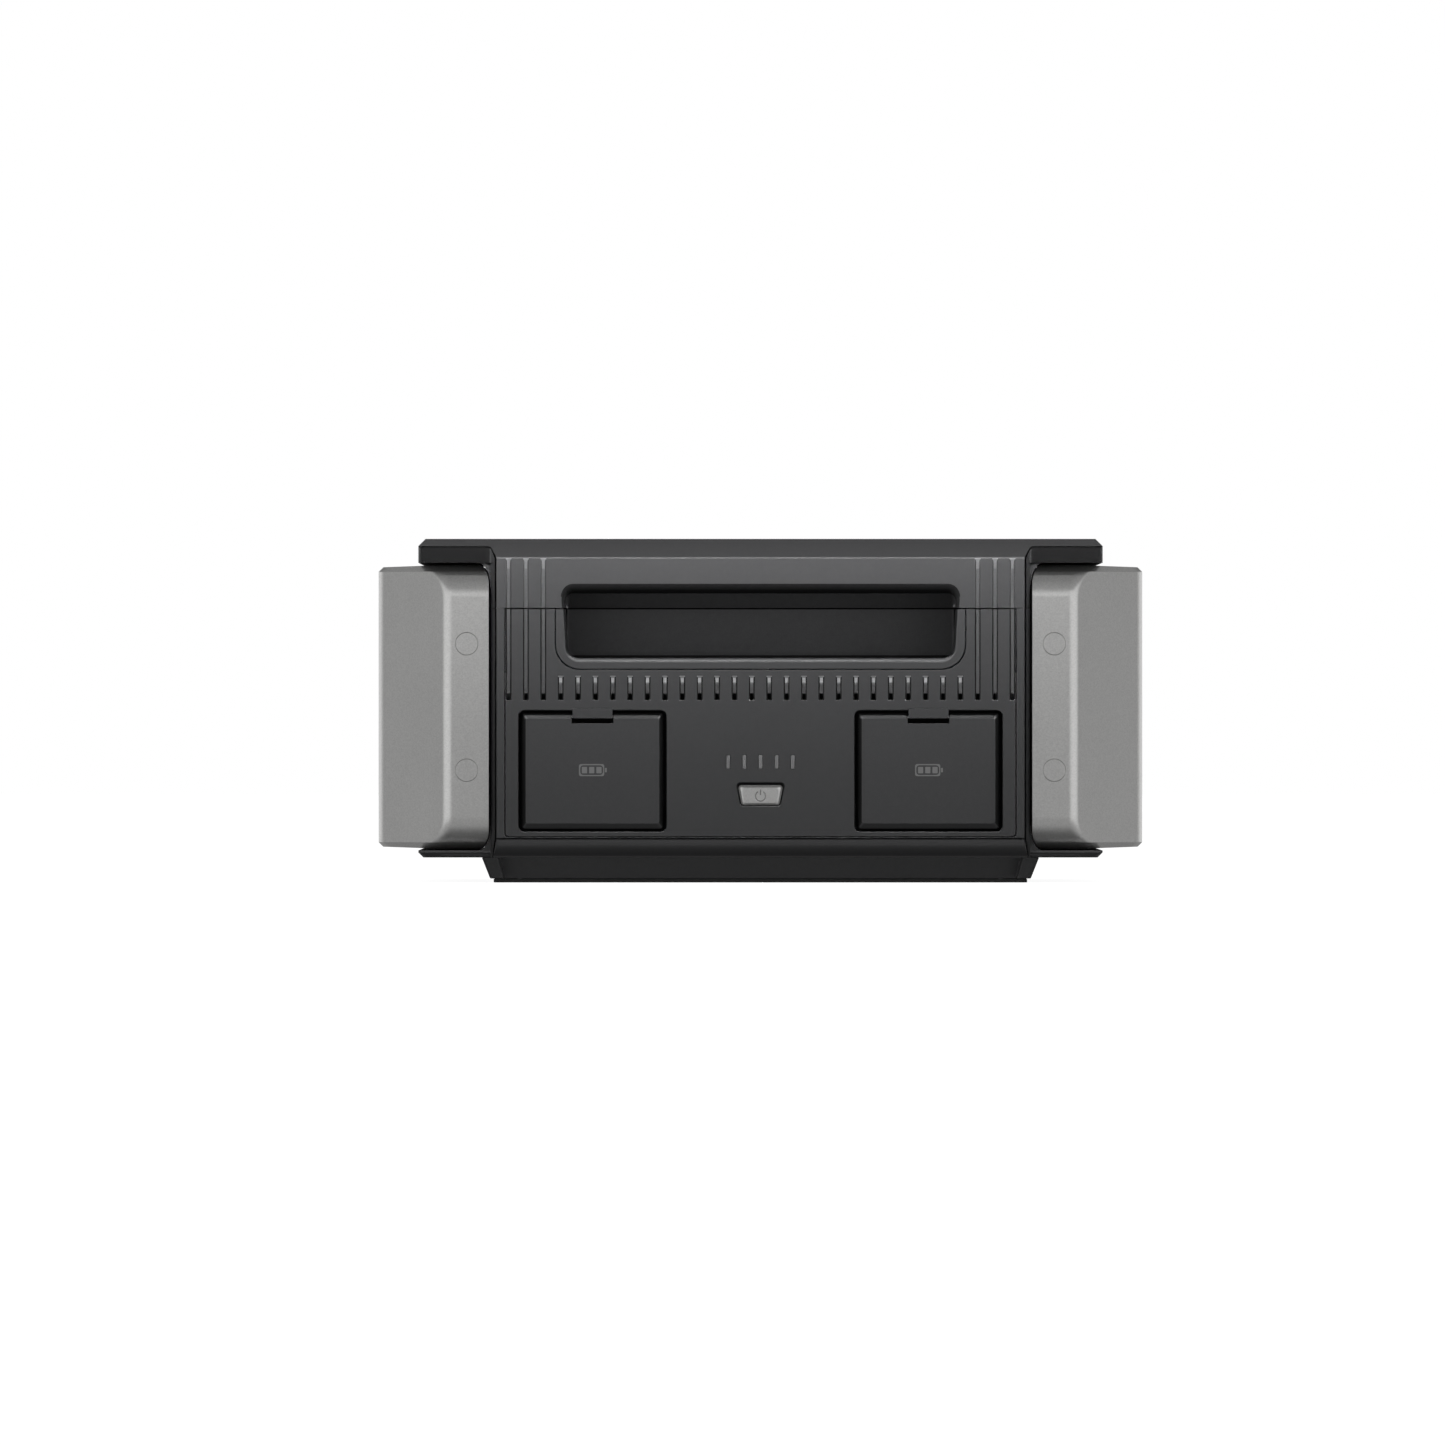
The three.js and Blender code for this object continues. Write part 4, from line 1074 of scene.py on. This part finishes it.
for end in ("front", "rear"):
    cup = make_cup(f"{end}_cup")
    hood = make_hood(f"{end}_hood")
    if end == "rear":
        for piece in (cup, hood):
            piece.data.transform(HALF_TURN)
    finish_piece(cup, case_plastic, "case", [f"{end}_handle_cup"])
    # Painted light on the back wall and the inner sides of the grip in the cup.
    second_finish(cup, recess_plastic, lambda centre, normal: abs(centre.y) < END - 4 and normal.z < 0.5)
    # Painted shade: the grip's sides and the cup's outer wall in the seam are painted near black.
    second_finish(cup, lip_plastic, lambda centre, normal: abs(normal.x) > 0.45)
    second_finish(cup, lip_plastic, outside_cup)
    # Painted light, weaker than in the cup, so the upper half of the grip reads shaded.
    finish_piece(hood, hood_plastic, "case", [f"{end}_handle_hood"])

# %% [markdown]
# ## Side guards
#
# A guard is a deep metal channel. Its front rolls back at top and bottom, its corner turns through
# a bright rounded shoulder into a slanted face, and a chamfer runs round the top and bottom edges.
# It is skinned from plans, one for each height. Towards the top and the bottom the plan's front
# moves back along a 20 mm arc and its shoulder gets rounder, so the corner melts into the roll.
# An end view then gives the taper and the rounded inner corners.

# %% Shape a guard
GUARD_IN = 161.6
GUARD_OUT = 227.5
GUARD_FRONT = 325.5
GUARD_TOP = 189.7
GUARD_LOW = 19.4
GUARD_ROLL = 20.0
SHOULDER = (187.0, 9.0)      # x of the shoulder and its radius
SLANT_END = 276.0
RIM = 4.6                    # chamfer round the top and bottom edges
PLUG_X = 174.7
PLUG_Z = (66.9, 142.1)
PLUG_RADIUS = 6.8
GUARD_WALL = 3.5


def guard_levels(low, high, roll, rim):
    """Heights of a guard, each with how far its front has rolled back and its rim has shrunk."""
    heights = {roll * (1 - math.sin(math.radians(a))) for a in range(0, 91, 6)} | {rim}
    half = []
    for up in sorted(heights):
        back = roll - math.sqrt(roll * roll - (roll - up) ** 2)
        half.append((up, back, max(0.0, rim - up)))
    lower = [(low + up, back, shrink) for up, back, shrink in half]
    upper = [(high - up, back, shrink) for up, back, shrink in reversed(half)]
    return lower + upper


def guard_form(name, inset):
    """The outer form of the right guard, or the same form inset by the thickness of its wall."""
    slope = (GUARD_OUT - SHOULDER[0]) / (GUARD_FRONT - SLANT_END)
    front = GUARD_FRONT - inset
    out = GUARD_OUT - inset
    slant = SLANT_END - 0.4 * inset
    low, high = GUARD_LOW + inset, GUARD_TOP - inset
    rings = []
    for z, back, shrink in guard_levels(low, high, GUARD_ROLL - inset, RIM if inset == 0 else 0.5):
        face = front - back
        bend = (out - slope * (face - slant), face, SHOULDER[1] + 0.5 * back)
        plan = [
            (120.0, -face, 0.0), (bend[0], -face, bend[2]), (out, -slant, 16.0),
            (out, slant, 16.0), (bend[0], face, bend[2]), (120.0, face, 0.0),
        ]
        rings.append([(p.x, p.y, z) for p in ring_of(plan, -shrink, 12)])
    form = skin(name, rings)
    inner = GUARD_IN - (2.0 if inset else 0.0)
    end_view = prism("end_view", "y", [
        (inner, low + 7.5, 15.0), (inner + 4.2, low, 6.0), (250.0, low + 2.7, 0.0),
        (250.0, high - 2.7, 0.0), (inner + 4.2, high, 6.0), (inner, high - 7.5, 15.0),
    ], [(-400.0, 0.0), (400.0, 0.0)], steps=10)
    return combine(form, [end_view], "INTERSECT")


def plug_well():
    holes = []
    for z in PLUG_Z:
        rim = circle(PLUG_X, z, PLUG_RADIUS)
        for sign in (1, -1):
            face = -GUARD_FRONT * sign
            holes.append(prism("hole", "y", rim, cutter_sections(face, face + sign * 2.9, 0.18)))
    return joined("plug_wells", holes)


def pressed_panel():
    """The shallow long panel pressed into the guard's outer side."""
    middle = (GUARD_LOW + GUARD_TOP) / 2
    corners = [
        (-228.0, middle - 43, 9.0), (228.0, middle - 43, 9.0), (246.0, middle, 10.0),
        (228.0, middle + 43, 9.0), (-228.0, middle + 43, 9.0), (-246.0, middle, 10.0),
    ]
    depths = [(GUARD_OUT + 1, 3.2), (GUARD_OUT, 2.4), (GUARD_OUT - 0.3, 1.7), (GUARD_OUT - 1.7, -0.6),
              (GUARD_OUT - 2.0, -1.4)]
    return prism("pressed", "x", corners, depths, steps=8)


def make_guard():
    guard = guard_form("right_guard", 0.0)
    soften(guard, 0.5, segments=3, angle=24)
    combine(guard, [guard_form("inner_form", GUARD_WALL), plug_well(), pressed_panel()], "DIFFERENCE")
    return guard


right_guard = make_guard()
left_guard = mirrored(right_guard, "left_guard")
finish_piece(right_guard, guard_paint, "case", ["side_guard_right"])
finish_piece(left_guard, guard_paint, "case", ["side_guard_left"])

# %% [markdown]
# ## Screw plugs
#
# Each guard is held by screws from the ends. A flush disc of the same paint closes each hole, so
# that only a fine circle shows.

# %% Shape the plugs
def make_plug(name, x, y_sign, z):
    rim = circle(x, z, PLUG_RADIUS - 0.16)
    face = GUARD_FRONT * y_sign
    return prism(name, "y", rim, solid_sections(face, face - y_sign * 2.5, 0.2))


for side, x_sign in (("left", -1), ("right", 1)):
    for end, y_sign in (("front", -1), ("rear", 1)):
        for height, z in zip(("lower", "upper"), PLUG_Z):
            plug = make_plug(f"plug_{end}_{side}_{height}", x_sign * PLUG_X, y_sign, z)
            finish_piece(plug, guard_paint, "case", [f"guard_plug_{end}_{side}_{height}"])

# %% [markdown]
# ## Port covers
#
# A port cover is a plate with a wide chamfer, steeper at the top and bottom, that stands in its pocket with a
# dark gap all round. A knuckle on the panel fills a notch in its upper edge. Its side chamfers carry painted
# shade, near black, so that they read as part of the gap, and its upward chamfers a darker copy that dims
# their highlight. The print on it is a plain battery sign.

# %% Shape a cover and its knuckle
COVER_HALF = 42.05
COVER_LOW = 32.2
COVER_TOP = 101.0
COVER_FACE = -END + 0.7
COVER_THICK = 6.0
NOTCH_LOW = 94.8


def make_cover(name, x):
    outline = rectangle(x - COVER_HALF, x + COVER_HALF, COVER_LOW, COVER_TOP, 2.0)
    face = rectangle(x - COVER_HALF + 2.4, x + COVER_HALF - 2.4, COVER_LOW + 3.1, COVER_TOP - 3.2, 1.8)
    levels = [(COVER_FACE, face), (COVER_FACE + 1.9, outline), (COVER_FACE + COVER_THICK, outline)]
    cover = skin(name, [[(p.x, y, p.y) for p in ring_of(corners, 0.0, 5)] for y, corners in levels])
    half = KNUCKLE_HALF + 0.35
    notch = block("notch", x - half, x + half, -END - 5, -END + 10, NOTCH_LOW, 110)
    combine(cover, [notch], "DIFFERENCE")
    return soften(cover, 0.3, segments=3, angle=24)


def make_knuckle(name, x):
    outline = rectangle(x - KNUCKLE_HALF, x + KNUCKLE_HALF, KNUCKLE_LOW, KNUCKLE_TOP, 0.4)
    return prism(name, "y", outline, solid_sections(-END, -END + 6.1, 0.3, 0.3), steps=3)


# %% A battery sign for each cover
SIGN_Z = 67.0


def outline_frame(name, corners, width, y0, y1):
    """A flat frame: an outline with its inside cut out."""
    plate = prism(name, "y", corners, [(y0, 0.0), (y1, 0.0)], steps=4)
    inside = prism("inside", "y", corners, [(y0 - 1, -width), (y1 + 1, -width)], steps=4)
    return combine(plate, [inside], "DIFFERENCE")


def make_battery_sign(name, x):
    proud, sunk = COVER_FACE - 0.04, COVER_FACE + 0.2
    border = rectangle(x - 8, x + 7, SIGN_Z - 3.6, SIGN_Z + 3.6, 1.2)
    parts = [outline_frame("case_line", border, 0.7, proud, sunk)]
    parts.append(block("nub", x + 7.4, x + 8.5, proud, sunk, SIGN_Z - 1.3, SIGN_Z + 1.3))
    for i in range(3):
        left = x - 6.3 + 4.3 * i
        parts.append(prism(
            "bar", "y", rectangle(left, left + 3.1, SIGN_Z - 1.9, SIGN_Z + 1.9, 0.3),
            [(proud, 0.0), (sunk, 0.0)], steps=2))
    return joined(name, parts)


for side, x in (("left", -PORT_X), ("right", PORT_X)):
    body = f"port_cover_{side}"
    cover = finish_piece(make_cover(f"cover_{side}", x), cover_plastic, body, [body])
    # Painted shade: the side chamfers are painted near black, and the upward ones darker to dim their
    # highlight.
    second_finish(cover, flange_plastic, lambda centre, normal: abs(normal.x) > 0.4)
    second_finish(cover, top_plastic, lambda centre, normal: normal.z > 0.4)
    knuckle = make_knuckle(f"knuckle_{side}", x)
    finish_piece(knuckle, cover_plastic, "case", [f"port_hinge_block_{side}"])
    finish_piece(make_battery_sign(f"battery_sign_{side}", x), print_ink, body, ())

# %% [markdown]
# ## Power key and gauge
#
# The key is a small metallic trapezoid with a chamfered rim. Its sign is the usual broken ring and
# bar. The gauge has five frosted windows, each a light pipe that ends flush with the panel.

# %% Shape the key, its sign and the lenses
KEY_FACE = -END + 0.25
KEY_STOP = trapezoid(12.2, 14.0, 44.6, 59.2, 1.5)    # the rim that keeps the key in the panel
RING_OUT = 3.3               # radii of the ring in the sign
RING_IN = 2.65
RING_GAP = math.radians(32)  # half of the opening at its top
RING_STEPS = 40


def make_key():
    corners = trapezoid(
        KEY_HALF_LOW, KEY_HALF_TOP, KEY_Z - KEY_HALF_TALL, KEY_Z + KEY_HALF_TALL, 1.3)
    sections = [(KEY_FACE, -1.0), (KEY_FACE + 0.07, -0.85), (KEY_FACE + 0.45, -0.12), (KEY_FACE + 0.6, 0.0),
                (-END + 4.5, 0.0)]
    key = prism("key", "y", corners, sections, steps=5)
    flange = prism("flange", "y", KEY_STOP, [(-END + 4.4, 0.0), (-END + 5.8, 0.0)])
    return combine(key, [flange], "UNION")


def make_power_sign():
    """A ring with a gap at the top and a short bar through it."""
    proud, sunk = KEY_FACE - 0.02, KEY_FACE + 0.15
    centre_z = KEY_Z - 0.35
    rings = []
    for k in range(RING_STEPS + 1):
        angle = math.pi / 2 + RING_GAP + (2 * math.pi - 2 * RING_GAP) * k / RING_STEPS
        cos, sin = math.cos(angle), math.sin(angle)
        rings.append([
            (radius * cos, y, centre_z + radius * sin) for radius, y in (
                (RING_OUT, proud), (RING_IN, proud), (RING_IN, sunk), (RING_OUT, sunk))])
    ring = skin("ring", rings)
    bar = block("bar", -0.34, 0.34, proud, sunk, centre_z + 0.6, centre_z + 4.0)
    return joined("power_sign", [ring, bar])


def make_lens(name, x):
    outline = centred(x, LENS_Z, *LENS_BODY)
    return prism(name, "y", outline, solid_sections(-END + 0.02, -END + 8, 0.3), steps=4)


finish_piece(make_key(), key_paint, "power_button", ["power_button"], crease=40)
finish_piece(make_power_sign(), sign_ink, "power_button", ())
for number, x in enumerate(LENS_XS, start=1):
    lens = make_lens(f"lens_{number}", x)
    finish_piece(lens, lens_plastic, "case", [f"charge_lens_{number}"])

# %% [markdown]
# ## Plinth and pads
#
# The plinth tapers towards the ground so that it drops into the tray of the battery below. Its two
# side rails run further out than its ends. Four rubber strips under it carry the weight.

# %% Shape the plinth and the pads
PLINTH_HALF = 165.8
PLINTH_END = 297.0
PLINTH_SETBACK = 12.0
RAIL_WIDTH = 10.0
PLINTH_DRAFT = 4.6


def make_plinth():
    plinth_low, plinth_high = corners_of("base_plinth")
    levels = [(plinth_low.z, 1.0, 0.5), (plinth_low.z + 0.5, 1.0, 0.0), (plinth_high.z, 0.0, 0.0)]
    rings = []
    for z, lean, shrink in levels:
        outer = PLINTH_HALF - PLINTH_DRAFT * lean
        inner = PLINTH_HALF - RAIL_WIDTH - 3.2 * lean
        end = PLINTH_END - PLINTH_DRAFT * lean
        plan = both_ends([(inner, -end + PLINTH_SETBACK, 1.2), (inner, -end, 1.4), (outer, -end, 1.8)])
        rings.append([(p.x, p.y, z) for p in ring_of(plan, -shrink, 5)])
    plinth = skin("plinth", rings)
    hollow = block("hollow", -146, 146, -272, 272, plinth_low.z + 3, plinth_high.z + 1)
    return combine(plinth, [hollow], "DIFFERENCE")


# Painted light: the plinth gets the lighter copy, since little light reaches under the case.
finish_piece(make_plinth(), frame_plastic, "case", ["base_plinth"])
for place in ("front", "rear", "left", "right"):
    node = f"base_pad_{place}"
    low, high = corners_of(node)
    outline = rectangle(low.x, high.x, low.y, high.y, 2.0)
    pad = prism(f"pad_{place}", "z", outline, solid_sections(low.z, high.z, 0.5, 0.3), steps=5)
    finish_piece(pad, rubber, "case", [node])

# %% [markdown]
# ## What the CAD model already has right
#
# The sockets behind the covers, the seals, pins, screws, boards and cells keep their CAD shape.
# They get a small bevel where they show, and their own finish.

# %% Finish the remaining nodes
CAD_FINISHES = {
    "port_socket": inner_plastic, "port_contact": brass, "port_seal": rubber, "port_hinge_pin": steel,
    "guard_screw": steel, "stack_end_plate": steel, "bms_board": board_mask,
    "indicator_board": board_mask, "power_switch": inner_plastic, "cell_stack": cell_film,
    "busbar_carrier": inner_plastic,
}
for name, node in frame["nodes"].items():
    for start, finish in CAD_FINISHES.items():
        if name.startswith(start):
            node.data.materials.clear()
            node.data.materials.append(finish)
            if start in ("port_socket", "port_contact"):
                bevel = node.modifiers.new("soft_edges", "BEVEL")
                bevel.width = 0.35 * MM
                bevel.segments = 2
                bevel.limit_method = "ANGLE"
                bevel.angle_limit = math.radians(40)

# %% [markdown]
# ## Studio
#
# The light is a pale studio, the same at both ends. A strip hangs close in front of an end and
# above it, so it fades down the face and catches the lower lip of the grip. A weak strip near the
# floor lights the ramps of the vents. Both would burn out the metal, so they reach only the
# plastic, and a soft card does their work on the guards. Wide panels at the sides draw the bright
# line on each guard's shoulder. The sky is mild, with a darker band above the horizon. The floor
# is pale and doesn't throw light back up, so the underside stays dark.

# %% World, lights and floor
# The sky from straight down (0) to straight up (1), with its brightness. Halfway is the horizon.
SKY = [
    (0.0, 0.03), (0.22, 0.05), (0.32, 0.34), (0.40, 0.28), (0.46, 0.20), (0.5, 0.29), (0.56, 0.30),
    (0.62, 0.09), (0.72, 0.26), (0.80, 0.22), (0.92, 0.05), (1.0, 0.04),
]


def make_world():
    """A sky that lights the object, and plain white wherever the camera looks past it."""
    world = bpy.data.worlds.new("studio")
    bpy.context.scene.world = world
    world.use_nodes = True
    nodes = Nodes(world.node_tree)
    direction = nodes.node("ShaderNodeTexCoord", {}, {}, "Generated")
    upward = nodes.node("ShaderNodeSeparateXYZ", {}, {0: direction}, "Z")
    elevation = nodes.node("ShaderNodeMath", {"operation": "ARCSINE"}, {0: upward})
    height = nodes.node("ShaderNodeMapRange", {}, {
        "Value": elevation, "From Min": -math.pi / 2, "From Max": math.pi / 2})
    level = nodes.node("ShaderNodeValToRGB", {"stops": SKY}, {0: height})
    sky = nodes.node("ShaderNodeBackground", {}, {"Color": level})
    white = nodes.node("ShaderNodeBackground", {}, {"Color": (1, 1, 1, 1)})
    seen = nodes.node("ShaderNodeLightPath", {}, {}, "Is Camera Ray")
    mix = nodes.node("ShaderNodeMixShader", {}, {0: seen, 1: sky, 2: white})
    feed(nodes.tree, nodes.tree.nodes["World Output"].inputs["Surface"], mix)


def area_light(name, place, aim, size, glow):
    """A rectangular light of a given radiance, aimed at a point."""
    lamp = bpy.data.lights.new(name, "AREA")
    lamp.shape = "RECTANGLE"
    lamp.size, lamp.size_y = size
    lamp.energy = 4 * size[0] * size[1] * glow
    holder = add_object(name, lamp)
    holder.location = place
    holder.rotation_euler = (Vector(aim) - Vector(place)).to_track_quat("-Z", "Y").to_euler()
    holder.visible_camera = False
    return holder


def make_floor():
    outline = rectangle(-30000, 30000, -30000, 30000)
    floor = prism("floor", "z", outline, [(-20.0, 0.0), (-0.01, 0.0)])
    paint = Finish("floor_paint", Emission_Strength=0.92)
    paint.shader.inputs["Emission Color"].default_value = (1, 1, 1, 1)
    grain = paint.noise(400.0, detail=2.0)
    colour = paint.blend(grain, grey(0.78), grey(0.82))
    rough = paint.spread(grain, 0, 1, 0.85, 0.95)
    floor.data.materials.append(paint.wire(Base_Color=colour, Roughness=rough))
    floor.visible_diffuse = False
    floor.visible_glossy = False
    floor.visible_shadow = False


METAL_PIECES = ("left_guard", "right_guard", "plug_", "key")


def reach_only(lamp, metal):
    """Makes a light reach either only the metallic pieces, or all the others."""
    reached = bpy.data.collections.new(f"{lamp.name}_reaches")
    for piece in bpy.context.scene.objects:
        if piece.type == "MESH" and piece.name != "floor":
            if piece.name.startswith(METAL_PIECES) == metal:
                reached.objects.link(piece)
    lamp.light_linking.receiver_collection = reached


# The lights at each end: how far in front of the face and how high they hang, the height they
# aim at, their width and height, their glow, and whether they reach the metal or the plastic.
END_LIGHTS = {
    "strip": (0.088, 0.275, 0.10, (0.8, 0.02), 54.0, False),
    "low_strip": (0.25, -0.10, 0.12, (0.8, 0.08), 1.8, False),
    "guard_card": (0.6, 0.30, 0.15, (0.9, 0.16), 0.62, True),
}
SIDE_PANEL = ((1.7, 1.0), 0.45)   # width and height, glow
OVERHEAD = ((1.6, 1.2), 0.3)

make_world()
make_floor()
for end in (-1, 1):
    y = end * END * MM
    for name, (away, height, aim, size, glow, metal) in END_LIGHTS.items():
        lamp = area_light(f"{name}_{end}", (0, y + end * away, height), (0, y, aim), size, glow)
        reach_only(lamp, metal)
    for side in (-1, 1):
        place = (side * 1.30, y + end * 0.95, 0.2)
        area_light(f"side_panel_{end}_{side}", place, (side * 0.15, y, 0.1), *SIDE_PANEL)
area_light("overhead", (0, 0.0, 1.6), (0, 0.0, 0), *OVERHEAD)

# %% [markdown]
# ## Camera
#
# A long lens from far away keeps the front nearly free of perspective, so that the ends of the
# guards are seen but not their long sides. The object sits a little right of the middle.

# %% Camera and colour
CAMERA_DISTANCE = 25.0
FRAME_WIDTH = 0.859          # width of the picture at the front face
AIM_X = -0.0226
AIM_Z = 0.0953
camera_data = bpy.data.cameras.new("camera")
camera_data.sensor_width = 36.0
camera_data.lens = 36.0 * CAMERA_DISTANCE / FRAME_WIDTH
camera_data.clip_end = 200.0
camera = add_object("camera", camera_data)
camera.location = (AIM_X, -END * MM - CAMERA_DISTANCE, AIM_Z)
camera.rotation_euler = (math.pi / 2, 0, 0)
bpy.context.scene.camera = camera
bpy.context.scene.view_settings.view_transform = "Standard"
print(f"camera: {camera_data.lens:.0f} mm lens at {CAMERA_DISTANCE} m")
